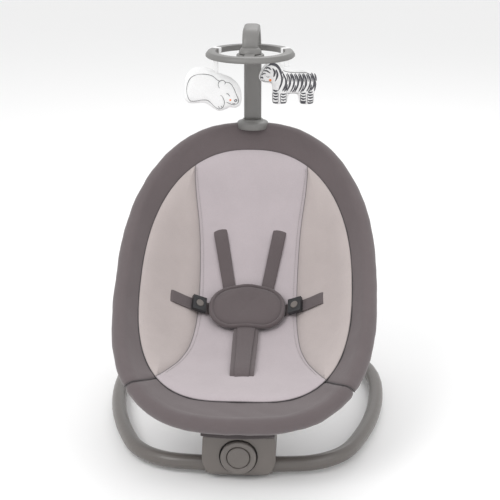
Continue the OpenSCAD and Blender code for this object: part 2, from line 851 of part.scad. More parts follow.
// The bar's middle line: up the post, over in two bends, and down to the hub.
bend_r = 27;
crest_z = 670;        // middle of the bar at its crest
ring_y = head_y - bar_reach;
bend_steps = 8;
bar_line = concat(
    [[head_y, bar_low, 0], [head_y, bar_low + 60, 0], [head_y, crest_z - bend_r - 20, 0]],
    [for (k = [0:bend_steps]) let (a = 90 * k / bend_steps)
        [head_y - bend_r * (1 - cos(a)), crest_z - bend_r * (1 - sin(a)), a]],
    [for (k = [0:bend_steps]) let (a = 90 + 88 * k / bend_steps)
        [ring_y + bend_r * (1 + cos(a)), crest_z - bend_r * (1 - sin(a)), a]]
);
// Rounded section, w by t, square to the line at angle a from upright.
function bar_ring(p, w, t) = [for (c = [22.5:45:337.5], e = [-12, 12])
    let (ex = sign(cos(c)) * pow(abs(cos(c + e)), 0.6) * w / 2,
         ey = sign(sin(c)) * pow(abs(sin(c + e)), 0.6) * t / 2)
    [ex, p[0] + ey * cos(p[2]), p[1] + ey * sin(p[2])]];
module toy_bar() {
    n = len(bar_line);
    rings = [for (i = [0:n - 1])
        let (f = max(0, (i - 3) / (n - 4)))
        bar_ring(bar_line[i], post_w - 2 * f, post_t - 3 * f)];
    color(grey) {
        loft(rings, middle(rings[0]), middle(rings[n - 1]));
        translate([0, head_y, head_z - 7]) cylinder(r = peg_r, h = bar_low - head_z + 8);
    }
}

ring_z = 636;          // middle of the toy ring
ring_t = 10;
ring_r = ring_d / 2 - ring_band / 2;
module at_ring() {
    translate([0, ring_y, ring_z]) children();
}

module hub_cap() {
    color(grey)
        at_ring() rotate_extrude() difference() {
            union() {
                translate([1, 0]) square([19, 3]);
                translate([1, 3]) square([16, 4.6]);
                translate([17, 3]) circle(r = 3, $fn = 24);
            }
            translate([0, -5]) square([5, 20]);
        }
}

module hub_spindle() {
    color(steel)
        at_ring() {
            translate([0, 0, -hub_drop - 1]) cylinder(r = 5, h = hub_drop + 8.5);
            translate([0, 0, -hub_drop - 3.5]) cylinder(r = 8, h = 2.5);
        }
}

hub_drop = 16;
module toy_ring() {
    color(grey)
        at_ring() difference() {
            union() {
                rotate_extrude($fn = 96) translate([ring_r, 0]) union() {
                    square([ring_band - ring_t, ring_t], center = true);
                    for (side = [-1, 1]) translate([side * (ring_band - ring_t) / 2, 0])
                        circle(d = ring_t, $fn = 24);
                }
                translate([0, 0, -hub_drop]) cylinder(r = 25, h = hub_drop - 1);
                for (side = [-1, 1])
                    translate([-9, side * (ring_r + 20) / 2 - (ring_r - 20) / 2, -4])
                        cube([18, ring_r - 20, 7]);
            }
            translate([0, 0, -20]) cylinder(r = 5.05, h = 40);
        }
}

// Toys hang a little behind the ring's widest place.
hang_turn = 25;
hang_x = ring_r * cos(hang_turn);
hang_y = ring_r * sin(hang_turn);
loop_w = 10;
module toy_loops() {
    color(white)
        at_ring() for (side = [-1, 1])
            translate([side * hang_x, hang_y, 0]) rotate([0, 0, side * hang_turn])
                difference() {
                    cube([ring_band + 3.4, loop_w, ring_t + 3.4], center = true);
                    cube([ring_band + 0.8, loop_w + 2, ring_t + 0.8], center = true);
                }
}

bear_drop = 32;
zebra_drop = 19;
strap_top = -ring_t / 2 - 2.6;
module toy_strap(side, drop) {
    color(white)
        at_ring() translate([side * hang_x - 5, hang_y - 1, strap_top - drop])
            cube([10, 2, drop]);
}
module bear_strap() toy_strap(-1, bear_drop);
module zebra_strap() toy_strap(1, zebra_drop);

// A flat toy from rounded blobs: [x, z, radius] from the foot of its strap.
toy_t = 18;
module toy(side, drop, blobs) {
    color(white)
        at_ring() translate([side * hang_x, hang_y + toy_t / 2, strap_top - drop])
            rotate([90, 0, 0]) linear_extrude(toy_t) union() {
                for (b = blobs) translate([b.x, b.y]) circle(r = b.z);
            }
}
module bear_toy() {
    toy(-1, bear_drop, [[-27, -22, 30], [-40, -40, 17], [-5, -32, 30], [14, -34, 27],
                        [25, -44, 22], [32, -52, 14], [6, -58, 15], [0, -14, 14]]);
}
module zebra_toy() {
    toy(1, zebra_drop, [[-24, -6, 14], [-36, -14, 13], [-42, -23, 8.5], [-14, -21, 16],
                        [4, -31, 21], [20, -30, 21], [34, -32, 21], [-10, -44, 15],
                        [38, -46, 14], [-17, -54, 10], [-17, -62, 9.5], [-5, -62, 9.5],
                        [31, -62, 9.5], [43, -61, 9], [0, -12, 12]]);
}

base_hoop();
hoop_end_plug();
rear_feet();
pod_housing();
pod_base();
pod_feet();
pod_screws();
dc_socket();
control_board();
dial_encoder();
speed_dial();
power_button();
speaker();
chassis();
upper_bush();
lower_bush();
drive_motor();
motor_pinion();
drive_gear();
gear_axle();
sway_shaft();
sway_lever();
sway_hub();
recline_pin();
recline_button_left();
recline_button_right();
seat_bracket();
front_cradle();
spine_tube();
rim_tube();
seat_cover();
seat_liner();
shoulder_strap_left();
shoulder_strap_right();
waist_strap_left();
waist_strap_right();
crotch_strap();
tummy_pad();
buckle_left();
buckle_right();
buckle_button_left();
buckle_button_right();
toy_bar_socket();
toy_bar();
hub_cap();
hub_spindle();
toy_ring();
toy_loops();
bear_strap();
bear_toy();
zebra_strap();
zebra_toy();
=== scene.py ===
"""Looks of the baby swing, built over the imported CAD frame. Lengths are in metres."""

import json
import math

import bmesh
import bpy
import numpy as np
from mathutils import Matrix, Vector


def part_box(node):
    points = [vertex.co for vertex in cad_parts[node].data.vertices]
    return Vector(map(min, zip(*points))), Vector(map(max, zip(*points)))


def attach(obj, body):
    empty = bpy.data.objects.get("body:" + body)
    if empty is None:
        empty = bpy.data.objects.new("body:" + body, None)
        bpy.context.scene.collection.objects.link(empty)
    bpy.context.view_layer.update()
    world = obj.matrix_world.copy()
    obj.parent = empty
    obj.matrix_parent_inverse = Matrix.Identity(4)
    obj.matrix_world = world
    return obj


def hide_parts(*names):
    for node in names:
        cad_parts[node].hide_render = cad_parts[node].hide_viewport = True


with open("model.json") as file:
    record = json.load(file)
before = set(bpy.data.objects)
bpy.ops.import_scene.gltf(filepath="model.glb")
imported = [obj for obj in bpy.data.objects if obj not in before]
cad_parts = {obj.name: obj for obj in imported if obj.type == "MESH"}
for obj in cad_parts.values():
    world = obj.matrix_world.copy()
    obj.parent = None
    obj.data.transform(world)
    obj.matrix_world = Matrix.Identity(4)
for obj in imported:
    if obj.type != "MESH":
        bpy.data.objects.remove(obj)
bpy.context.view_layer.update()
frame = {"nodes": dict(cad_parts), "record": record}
JOINTS = {j["name"]: j for j in frame["record"]["behaviour"]["joints"]}
RING_CENTRE = np.array(JOINTS["ring_turn"]["pos_m"])
FULL_TURN = 2 * math.pi


def new_object(name, data):
    piece = bpy.data.objects.new(name, data)
    bpy.context.collection.objects.link(piece)
    return piece


# ---------------------------------------------------------------- camera and light

CAMERA_DISTANCE = 2.221
CAMERA_HEIGHT = 1.041
CAMERA_AZIMUTH = math.radians(2.8)
CAMERA_PITCH = math.radians(18.71)
CAMERA_LENS_MM = 92.7
CAMERA_SHIFT = 0.0033
HOOP_WIDEST_Y = 0.066
FLOOR_HALF = 30.0


def add_camera():
    data = bpy.data.cameras.new("camera")
    data.lens = CAMERA_LENS_MM
    data.sensor_width = 36.0
    data.shift_x = CAMERA_SHIFT
    camera = new_object("camera", data)
    camera.location = (
        CAMERA_DISTANCE * math.sin(CAMERA_AZIMUTH),
        HOOP_WIDEST_Y - CAMERA_DISTANCE * math.cos(CAMERA_AZIMUTH),
        CAMERA_HEIGHT,
    )
    camera.rotation_euler = (math.pi / 2 - CAMERA_PITCH, 0.0, CAMERA_AZIMUTH)
    bpy.context.scene.camera = camera


def add_area(name, place, aim, size, power):
    data = bpy.data.lights.new(name, "AREA")
    data.shape = "DISK"
    data.size = size
    data.energy = power
    light = new_object(name, data)
    light.location = place
    light.rotation_euler = (Vector(aim) - Vector(place)).to_track_quat("-Z", "Y").to_euler()


def add_studio():
    world = bpy.data.worlds.new("studio")
    world.use_nodes = True
    background = world.node_tree.nodes["Background"]
    background.inputs["Color"].default_value = (1.0, 1.0, 1.0, 1.0)
    background.inputs["Strength"].default_value = 0.92
    bpy.context.scene.world = world
    add_area("key", (-1.3, -1.5, 2.3), (0.0, 0.0, 0.3), 1.4, 24.0)
    add_area("fill", (1.7, -1.3, 1.5), (0.0, 0.0, 0.3), 1.8, 8.0)
    add_area("back", (0.3, 1.8, 2.2), (0.0, 0.1, 0.3), 1.6, 14.0)
    bpy.context.scene.view_settings.view_transform = "Standard"


def add_floor():
    mesh = bpy.data.meshes.new("floor")
    corners = [(FLOOR_HALF * x, FLOOR_HALF * y, 0) for x, y in ((-1, -1), (1, -1), (1, 1), (-1, 1))]
    mesh.from_pydata(corners, [], [(0, 1, 2, 3)])
    floor = new_object("floor", mesh)
    mat = bpy.data.materials.new("pale_floor")
    mat.use_nodes = True
    bsdf = mat.node_tree.nodes["Principled BSDF"]
    bsdf.inputs["Base Color"].default_value = (0.93, 0.93, 0.93, 1.0)
    bsdf.inputs["Roughness"].default_value = 0.7
    mesh.materials.append(mat)


# ---------------------------------------------------------------- materials

SEAT_ANGLE = math.radians(32.5)


class Finish:
    """A Principled material whose colour, roughness and bump come from procedural nodes."""

    def __init__(self, name, roughness=0.6, metallic=0.0, sheen=0.0, coat=0.0, tilt=0.0):
        self.material = bpy.data.materials.new(name)
        self.material.use_nodes = True
        self.tree = self.material.node_tree
        self.bsdf = self.tree.nodes["Principled BSDF"]
        self.bsdf.inputs["Roughness"].default_value = roughness
        self.bsdf.inputs["Metallic"].default_value = metallic
        self.bsdf.inputs["Sheen Weight"].default_value = sheen
        self.bsdf.inputs["Sheen Roughness"].default_value = 0.5
        self.bsdf.inputs["Coat Weight"].default_value = coat
        coords = self.tree.nodes.new("ShaderNodeTexCoord")
        turn = self.tree.nodes.new("ShaderNodeMapping")
        turn.inputs["Rotation"].default_value = (-tilt, 0.0, 0.0)
        self.tree.links.new(coords.outputs["Object"], turn.inputs["Vector"])
        self.place = turn.outputs["Vector"]

    def node(self, kind, **values):
        """A new node with some of its inputs set; underscores stand for spaces."""
        node = self.tree.nodes.new(kind)
        for name, value in values.items():
            self.feed(node.inputs[name.replace("_", " ")], value)
        return node

    def feed(self, socket, value):
        """Set a socket to a number or a colour, or link another socket to it."""
        if isinstance(value, (int, float)):
            socket.default_value = value
        elif isinstance(value, tuple):
            socket.default_value = (*value, 1.0)
        else:
            self.tree.links.new(value, socket)

    def noise(self, size, detail=2.0):
        """Noise whose blotches are about this many metres across."""
        node = self.node("ShaderNodeTexNoise", Scale=1.0 / size, Detail=detail, Vector=self.place)
        return node.outputs["Fac"]

    def bands(self, pitch, direction, wobble=0.0):
        """Parallel threads, one every pitch metres."""
        node = self.node("ShaderNodeTexWave", Scale=math.pi / (10.0 * pitch), Distortion=wobble,
                         Detail=1.0, Vector=self.place)
        node.bands_direction = direction
        return node.outputs["Fac"]

    def math(self, kind, a, b):
        node = self.node("ShaderNodeMath")
        node.operation = kind
        self.feed(node.inputs[0], a)
        self.feed(node.inputs[1], b)
        return node.outputs[0]

    def weave(self, pitch, wobble=0.6):
        """Threads crossing at right angles, seen from any side."""
        cross = self.math("MULTIPLY", self.bands(pitch, "X", wobble), self.bands(pitch, "Y", wobble))
        upright = self.math("MULTIPLY", self.bands(pitch, "X", wobble), self.bands(pitch, "Z", wobble))
        return self.math("MAXIMUM", cross, upright)

    def ramp(self, fac, dark, light, low=0.3, high=0.7):
        node = self.node("ShaderNodeValToRGB", Fac=fac)
        for stop, place, colour in zip(node.color_ramp.elements, (low, high), (dark, light)):
            stop.position = place
            stop.color = (*colour, 1.0)
        return node.outputs["Color"]

    def mix(self, fac, a, b, blend="MIX"):
        node = self.node("ShaderNodeMix")
        node.data_type = "RGBA"
        node.blend_type = blend
        for place, value in ((0, fac), (6, a), (7, b)):
            self.feed(node.inputs[place], value)
        return node.outputs[2]

    def colour(self, socket):
        self.feed(self.bsdf.inputs["Base Color"], socket)

    def mottle(self, colour, size, dark, light, detail=2.0):
        """A colour that wanders between two shades of itself."""
        return self.ramp(self.noise(size, detail), shade(colour, dark), shade(colour, light))

    def rough(self, fac, low, high):
        node = self.node("ShaderNodeMapRange", To_Min=low, To_Max=high, Value=fac)
        self.feed(self.bsdf.inputs["Roughness"], node.outputs["Result"])

    def bump(self, height, depth, strength=1.0):
        node = self.node("ShaderNodeBump", Distance=depth, Strength=strength, Height=height)
        self.feed(self.bsdf.inputs["Normal"], node.outputs["Normal"])


def shade(colour, k):
    return tuple(min(1.0, c * k) for c in colour)


def fabric(name, colour, pitch=0.0008, heather=0.08, sheen=0.25):
    """Woven cloth with a heathered yarn, a soft bloom, and painted shade that darkens the weave's
    grooves.
    """
    f = Finish(name, sheen=sheen, tilt=SEAT_ANGLE)
    weave = f.weave(pitch)
    yarn = f.mottle(colour, 0.0016, 1 - heather, 1 + heather)
    soft = f.mottle(colour, 0.06, 0.94, 1.05)
    mixed = f.mix(0.5, yarn, soft)
    # Painted shade: the colour is darkened where the weave's threads dip.
    groove_shade = f.ramp(weave, (0.9, 0.9, 0.9), (1.0, 1.0, 1.0), 0.0, 0.35)
    f.colour(f.mix(0.4, mixed, groove_shade, "MULTIPLY"))
    f.rough(f.noise(0.01), 0.82, 0.95)
    f.bump(f.math("ADD", weave, f.noise(0.0016)), 0.00008, 0.5)
    return f.material


def webbing(name, colour):
    """Close ribs that run across the strap, with painted shade darkening the colour between them."""
    f = Finish(name, sheen=0.15, tilt=SEAT_ANGLE)
    ribs = f.math("MAXIMUM", f.bands(0.0016, "Y", 0.3), f.bands(0.0016, "Z", 0.3))
    yarn = f.mottle(colour, 0.0012, 0.85, 1.15)
    # Painted shade: the colour darkens between the ribs.
    f.colour(f.mix(0.35, yarn, f.ramp(ribs, (0.75, 0.75, 0.75), (1, 1, 1), 0.0, 0.5), "MULTIPLY"))
    f.rough(f.noise(0.004), 0.7, 0.85)
    f.bump(ribs, 0.0003, 0.6)
    return f.material


def plush(name, colour):
    """Short pile."""
    f = Finish(name, sheen=0.6)
    pile = f.noise(0.0009, 3.0)
    f.colour(f.ramp(pile, shade(colour, 0.9), shade(colour, 1.04)))
    f.rough(f.noise(0.003), 0.88, 1.0)
    f.bump(pile, 0.0006, 0.6)
    return f.material


def printed(name, colour):
    """Ink on short pile."""
    f = Finish(name, sheen=0.2)
    f.colour(f.mottle(colour, 0.0011, 0.8, 1.25))
    f.rough(f.noise(0.002), 0.85, 0.95)
    f.bump(f.noise(0.0008), 0.0002, 0.5)
    return f.material


def plastic(name, colour, low=0.36, high=0.5, grain=0.0007, depth=0.00003, coat=0.0):
    """Moulded plastic with a fine spark-eroded grain and faint flow marks."""
    f = Finish(name, coat=coat)
    f.colour(f.mottle(colour, 0.05, 0.96, 1.04))
    f.rough(f.noise(0.004), low, high)
    f.bump(f.noise(grain, 1.0), depth, 0.5)
    return f.material


def paint(name, colour):
    """Satin powder coat with a slight orange peel."""
    f = Finish(name, coat=0.15)
    f.colour(f.mottle(colour, 0.002, 0.95, 1.05))
    f.rough(f.noise(0.008), 0.3, 0.42)
    f.bump(f.noise(0.0025, 1.0), 0.00006, 0.5)
    return f.material


def metal(name, colour, low=0.22, high=0.4):
    """Turned metal with fine tool marks."""
    f = Finish(name, metallic=1.0)
    marks = f.bands(0.0006, "X", 1.5)
    f.colour(f.mottle(colour, 0.01, 0.9, 1.05))
    f.rough(marks, low, high)
    f.bump(marks, 0.00002, 0.4)
    return f.material


def rubber(name, colour):
    f = Finish(name)
    f.colour(f.mottle(colour, 0.004, 0.8, 1.2))
    f.rough(f.noise(0.002), 0.75, 0.9)
    f.bump(f.noise(0.0009), 0.00008, 0.6)
    return f.material


COVER = (0.116, 0.094, 0.097)
SIDE = (0.455, 0.4, 0.388)
CENTRE = (0.45, 0.4, 0.418)
STRAP = (0.104, 0.084, 0.087)
HOOP_GREY = (0.128, 0.115, 0.106)
FRAME_GREY = (0.155, 0.138, 0.127)
BAR_GREY = (0.184, 0.18, 0.174)
WHITE = (0.86, 0.86, 0.86)

add_camera()
add_studio()
add_floor()

# Each finish: how it is made, its colour, and any values that differ from the usual.
FINISHES = {
    "hoop_paint": (paint, HOOP_GREY),
    "pod_plastic": (plastic, FRAME_GREY, 0.42, 0.55),
    "dial_plastic": (plastic, FRAME_GREY, 0.26, 0.34, 0.0014, 0.00001, 0.2),
    "black_plastic": (plastic, (0.02, 0.02, 0.022)),
    "rubber_black": (rubber, (0.03, 0.03, 0.03)),
    "board_green": (plastic, (0.02, 0.11, 0.05)),
    "steel": (metal, (0.6, 0.6, 0.62)),
    "bronze": (metal, (0.55, 0.4, 0.2)),
    "gear_white": (plastic, (0.8, 0.8, 0.77)),
    "cover_fabric": (fabric, COVER),
    # The cradle is the cover's cloth at half its brightness: painted shade under the seat's front.
    "cradle_fabric": (fabric, shade(COVER, 0.5)),
    "liner_fabric": (fabric, SIDE, 0.0008, 0.07),
    "centre_fabric": (fabric, CENTRE, 0.0008, 0.07),
    "webbing": (webbing, STRAP),
    "strap_cover": (fabric, STRAP, 0.0007),
    "bar_plastic": (plastic, BAR_GREY, 0.38, 0.5),
    "ribbon_white": (fabric, WHITE, 0.0007, 0.04),
    "bear_plush": (plush, WHITE),
    "zebra_plush": (plush, WHITE),
    "thread": (printed, (0.3, 0.28, 0.28)),
    # Near-black and dark grey cords laid along the seams: painted shade of the seam grooves.
    "seam_thread": (printed, (0.045, 0.04, 0.042)),
    "panel_thread": (printed, (0.2, 0.185, 0.185)),
    # Near-black filling laid in the gaps round the dial and under the hub bell: painted shade.
    "gap_black": (plastic, (0.012, 0.012, 0.012), 0.7, 0.85),
    "ink_grey": (printed, (0.1, 0.1, 0.105)),
    "ink_dark": (printed, (0.075, 0.075, 0.085)),
    "ink_orange": (printed, (0.85, 0.24, 0.07)),
}
MATERIALS = {name: make(name, *values) for name, (make, *values) in FINISHES.items()}


def dress(mesh, material):
    """Give a mesh one material and smooth shading."""
    mesh.materials.clear()
    mesh.materials.append(MATERIALS[material])
    mesh.polygons.foreach_set("use_smooth", [True] * len(mesh.polygons))


def finish_cad_nodes():
    """Every carried-over CAD node gets its slot's material and smooth round faces."""
    for part in frame["record"]["subparts"]:
        mesh = frame["nodes"][part["node"]].data
        dress(mesh, part["material_slot"])
        mesh.set_sharp_from_angle(angle=math.radians(32))


# ---------------------------------------------------------------- mesh helpers


def settle(piece, body, node=None):
    """Let a piece ride on a body, and stand for a CAD node if one is named."""
    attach(piece, body)
    if node:
        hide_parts(node)
    return piece


def add_mesh(name, verts, faces, material, body, node=None):
    """A new smooth piece that rides on a body."""
    mesh = bpy.data.meshes.new(name)
    mesh.from_pydata([tuple(map(float, v)) for v in verts], [], faces)
    bm = bmesh.new()
    bm.from_mesh(mesh)
    bmesh.ops.recalc_face_normals(bm, faces=bm.faces)
    bm.to_mesh(mesh)
    bm.free()
    dress(mesh, material)
    return settle(new_object(name, mesh), body, node)


def round_angles(count):
    return np.linspace(0, FULL_TURN, count, endpoint=False)


def squircle(turn, power):
    """A unit circle squared off by a power above 2, as x and y."""
    c, d = np.cos(turn), np.sin(turn)
    k = (np.abs(c) ** power + np.abs(d) ** power) ** (-1 / power)
    return k * c, k * d


def directions(line):
    """Unit directions along a line of points."""
    along = np.gradient(line, axis=0)
    return along / np.maximum(np.linalg.norm(along, axis=1), 1e-9)[:, None]


def run_along(path):
    """Distance of each point from the start of a path."""
    return np.concatenate([[0], np.cumsum(np.linalg.norm(np.diff(path, axis=0), axis=1))])


def remesh(piece, voxel, rounds=0):
    """Rebuild a piece's mesh on a voxel grid, and smooth it."""
    grid = piece.modifiers.new("remesh", "REMESH")
    grid.mode = "VOXEL"
    grid.voxel_size = voxel
    if rounds:
        add_smoothing(piece, rounds)
    depsgraph = bpy.context.evaluated_depsgraph_get()
    piece.data = bpy.data.meshes.new_from_object(piece.evaluated_get(depsgraph))
    piece.modifiers.clear()
    return piece.data


def add_smoothing(piece, rounds):
    smooth = piece.modifiers.new("smooth", "SMOOTH")
    smooth.factor = 0.5
    smooth.iterations = rounds


def ring_faces(rows, count, start=0):
    faces = []
    for base in range(start, start + (rows - 1) * count, count):
        for i in range(count):
            j = (i + 1) % count
            faces.append((base + i, base + j, base + count + j, base + count + i))
    return faces


def closed_loft(rings):
    """Vertices and faces of a skin over closed rings, with a fan over each end."""
    rings = np.asarray(rings, float)
    rows, count, _ = rings.shape
    verts = list(rings.reshape(-1, 3)) + [rings[0].mean(0), rings[-1].mean(0)]
    faces = ring_faces(rows, count)
    first, last = rows * count, rows * count + 1
    faces += [(first, (i + 1) % count, i) for i in range(count)]
    base = (rows - 1) * count
    faces += [(last, base + i, base + (i + 1) % count) for i in range(count)]
    return verts, faces


def sharpen(piece, angle=38):
    piece.data.set_sharp_from_angle(angle=math.radians(angle))
    return piece


def add_seam_shade_cord(name, line, radius, material, body="seat"):
    """A thin round cord along a line, coloured dark as painted seam shade."""
    line = np.asarray(line, float)
    along = directions(line)
    side = np.cross(along, (0.37, 0.21, 0.9))
    side /= np.linalg.norm(side, axis=1)[:, None]
    other = np.cross(along, side)
    rings = [p + radius * (np.cos(a) * u + np.sin(a) * v)
             for p, u, v in zip(line, side, other)
             for a in [round_angles(8)[:, None]]]
    verts, faces = closed_loft(rings)
    return add_mesh(name, verts, faces, material, body)


def lathe(name, profile, centre, material, body, node=None, forward=False,
          hollow=False, steps=96):
    """A turned piece from (radius, height) pairs in mm, upright or facing forward."""
    a = round_angles(steps)
    rings = []
    for r, h in profile:
        x, y, z = r * np.cos(a), r * np.sin(a), np.full(steps, float(h))
        rings.append(np.stack([x, -z, y] if forward else [x, y, z], -1) / 1000 + centre)
    if hollow:
        verts = np.concatenate(rings)
        faces = ring_faces(len(rings), steps)
        base = (len(rings) - 1) * steps
        faces += [(base + i, base + (i + 1) % steps, (i + 1) % steps, i) for i in range(steps)]
    else:
        verts, faces = closed_loft(rings)
    return sharpen(add_mesh(name, verts, faces, material, body, node))


def slab(top, bottom):
    """Vertices and faces of a closed sheet with a top and a bottom grid of the same shape."""
    rows, cols, _ = top.shape
    verts = list(top.reshape(-1, 3)) + list(bottom.reshape(-1, 3))
    shift = rows * cols
    faces = []
    for r in range(rows - 1):
        for c in range(cols - 1):
            a, b = r * cols + c, r * cols + c + 1
            d, e = a + cols, b + cols
            faces.append((a, b, e, d))
            faces.append((a + shift, d + shift, e + shift, b + shift))
    edge = [r * cols for r in range(rows)]
    edge += [(rows - 1) * cols + c for c in range(1, cols)]
    edge += [r * cols + cols - 1 for r in range(rows - 2, -1, -1)]
    edge += [c for c in range(cols - 2, 0, -1)]
    for a, b in zip(edge, edge[1:] + edge[:1]):
        faces.append((a, b, b + shift, a + shift))
    return verts, faces


def spline(points, steps, closed=False):
    """Catmull-Rom curve through points, as an array."""
    pts = np.asarray(points, float)
    count = len(pts)
    out = []
    spans = count if closed else count - 1
    for i in range(spans):
        if closed:
            a, b, c, d = (pts[(i + k) % count] for k in (-1, 0, 1, 2))
        else:
            a, b = pts[max(i - 1, 0)], pts[i]
            c, d = pts[i + 1], pts[min(i + 2, count - 1)]
        for k in range(steps):
            t = k / steps
            out.append(
                0.5 * (2 * b + (c - a) * t + (2 * a - 5 * b + 4 * c - d) * t * t
                       + (3 * b - a - 3 * c + d) * t ** 3)
            )
    if not closed:
        out.append(pts[-1])
    return np.array(out)


def ripple(p, wave, seed=0.0):
    """Smooth undulation between about -1 and 1, with hills about wave metres apart."""
    k = FULL_TURN / wave
    x, y, z = (k * p[..., i] for i in range(3))
    return (
        np.sin(x + 1.7 * np.sin(0.63 * y + seed) + seed)
        * np.cos(0.9 * y - 0.7 * z + 1.3 * np.sin(0.5 * x - seed))
        + 0.5 * np.sin(1.9 * z + 1.1 * x + 2.1 * seed)
    ) / 1.5


# ---------------------------------------------------------------- seat surface

HALF_WIDTH = 0.215
SEAT_LENGTH = 0.652
WIDE_AT = 0.325
FRONT_POWER, REAR_POWER = 2.8, 2.36
SIDE_POWER, LONG_POWER = 2.4, 1.32
RIM_SAG = 0.032
BUCKET_DEPTH = 0.128
DISH_IN, DISH_UP = 0.012, 0.008
ROLL_RADIUS = 0.0145
COVER_THICKNESS = 0.0039
LINER_GAP, LINER_THICKNESS = 0.0011, 0.009
LINER_TOP = LINER_GAP + LINER_THICKNESS
HEAD = np.array(JOINTS["toy_bar_swivel"]["pos_m"])
FRONT = HEAD - SEAT_LENGTH * np.array([0.0, math.cos(SEAT_ANGLE), math.sin(SEAT_ANGLE)])


def on_seat(x, s, h):
    """From the seat's own axes (across, along, off) to the row frame."""
    c, d = math.cos(SEAT_ANGLE), math.sin(SEAT_ANGLE)
    return np.stack([x + FRONT[0], FRONT[1] + s * c - h * d, FRONT[2] + s * d + h * c], -1)


def egg(u, scale=1.0, inset=0.0):
    """The seat's outline at angle u, shrunk by scale and by an inset."""
    c, d = np.cos(u), np.sin(u)
    n = np.where(d < 0, FRONT_POWER, REAR_POWER)
    r = (np.abs(c) ** n + np.abs(d) ** n) ** (-1 / n)
    length = np.where(d < 0, WIDE_AT, SEAT_LENGTH - WIDE_AT) - inset
    return (HALF_WIDTH - inset) * scale * r * c, WIDE_AT + length * scale * r * d


def rim_h(s):
    return -4 * RIM_SAG * (s / SEAT_LENGTH) * (1 - s / SEAT_LENGTH)


def dish_h(x, s):
    a = x / (HALF_WIDTH - DISH_IN)
    v = s - WIDE_AT
    b = v / (np.where(v < 0, WIDE_AT, SEAT_LENGTH - WIDE_AT) - DISH_IN)
    n = np.where(v < 0, FRONT_POWER, REAR_POWER)
    t = np.sqrt((np.abs(a) ** n + np.abs(b) ** n) ** (2 / n) + 0.0016)
    side = (a * a + 0.001) / (a * a + b * b + 0.002)
    power = LONG_POWER + (SIDE_POWER - LONG_POWER) * side
    return rim_h(s) + DISH_UP - BUCKET_DEPTH * (1 - t ** power)


def dish(x, s, up=0.0):
    """A point on the bucket, raised off it, in the seat's axes."""
    x, s = np.asarray(x, float), np.asarray(s, float)
    e = 0.001
    dx = (dish_h(x + e, s) - dish_h(x - e, s)) / (2 * e)
    ds = (dish_h(x, s + e) - dish_h(x, s - e)) / (2 * e)
    size = np.sqrt(dx * dx + ds * ds + 1)
    return x - up * dx / size, s - up * ds / size, dish_h(x, s) + up / size


def dish_row(x, s, up=0.0):
    return on_seat(*dish(x, s, up))


SIDE_EDGE, HEAD_EDGE, FOOT_EDGE = 0.925, 0.91, 0.84


def liner_edge(u, inset=0.0):
    q = np.sin(u) ** 2
    far = np.where(np.sin(u) < 0, FOOT_EDGE, HEAD_EDGE)
    return egg(u, SIDE_EDGE * (1 - q) + far * q - inset / HALF_WIDTH, DISH_IN)


# The centre panel's seam, as half width against distance from the front of the seat.
SEAM_S = np.array([0.115, 0.150, 0.185, 0.240, 0.330, 0.460, 0.540, 0.585])
SEAM_X = np.array([0.139, 0.124, 0.110, 0.097, 0.091, 0.094, 0.105, 0.112])
CORNER_SEAM_U = (math.radians(225.4), math.radians(221.4))  # at the liner, at the hem


def edge_angle(x, s):
    """The angle at which the liner's edge passes nearest to a point."""
    u = np.linspace(0, FULL_TURN, 2881)
    ex, es = liner_edge(u)
    return u[np.argmin((ex - x) ** 2 + (es - s) ** 2)]


# ---------------------------------------------------------------- seat cover


def mirrored(u):
    return 3 * math.pi - u


def seat_angles():
    """Angles round the seat, closer together at the two corner seams."""
    middle = sum(CORNER_SEAM_U) / 2
    base = np.radians(np.arange(0, 360, 1.5))
    fine = np.concatenate([c + np.radians(np.arange(-4.5, 4.51, 0.2))
                           for c in (middle, mirrored(middle))])
    near = np.min([np.abs(base - c) for c in (middle, mirrored(middle))], axis=0)
    return np.sort(np.concatenate([base[near > math.radians(4.8)], fine]))


def leave_angle(u):
    """Where the bucket leaves the rim's roll, as an angle round the roll."""
    x, s = egg(u)
    v = s - WIDE_AT
    run = np.hypot(x, v)
    a = x / (HALF_WIDTH - DISH_IN)
    b = v / (np.where(v < 0, WIDE_AT, SEAT_LENGTH - WIDE_AT) - DISH_IN)
    side = a * a / (a * a + b * b)
    power = LONG_POWER + (SIDE_POWER - LONG_POWER) * side
    return math.pi / 2 + np.arctan(BUCKET_DEPTH * power / run)


INNER_ROWS = (0.3, 0.55, 0.72, 0.76, 0.8, 0.83, 0.86, 0.89, 0.92, 0.945, 0.965, 0.985, 1.0)
ROLL_ROWS = 22
HEM_TURN = math.radians(-140)
OUTER_ROWS = (0.93, 0.89, 0.84, 0.77, 0.69, 0.6, 0.5, 0.4, 0.3, 0.2, 0.1)


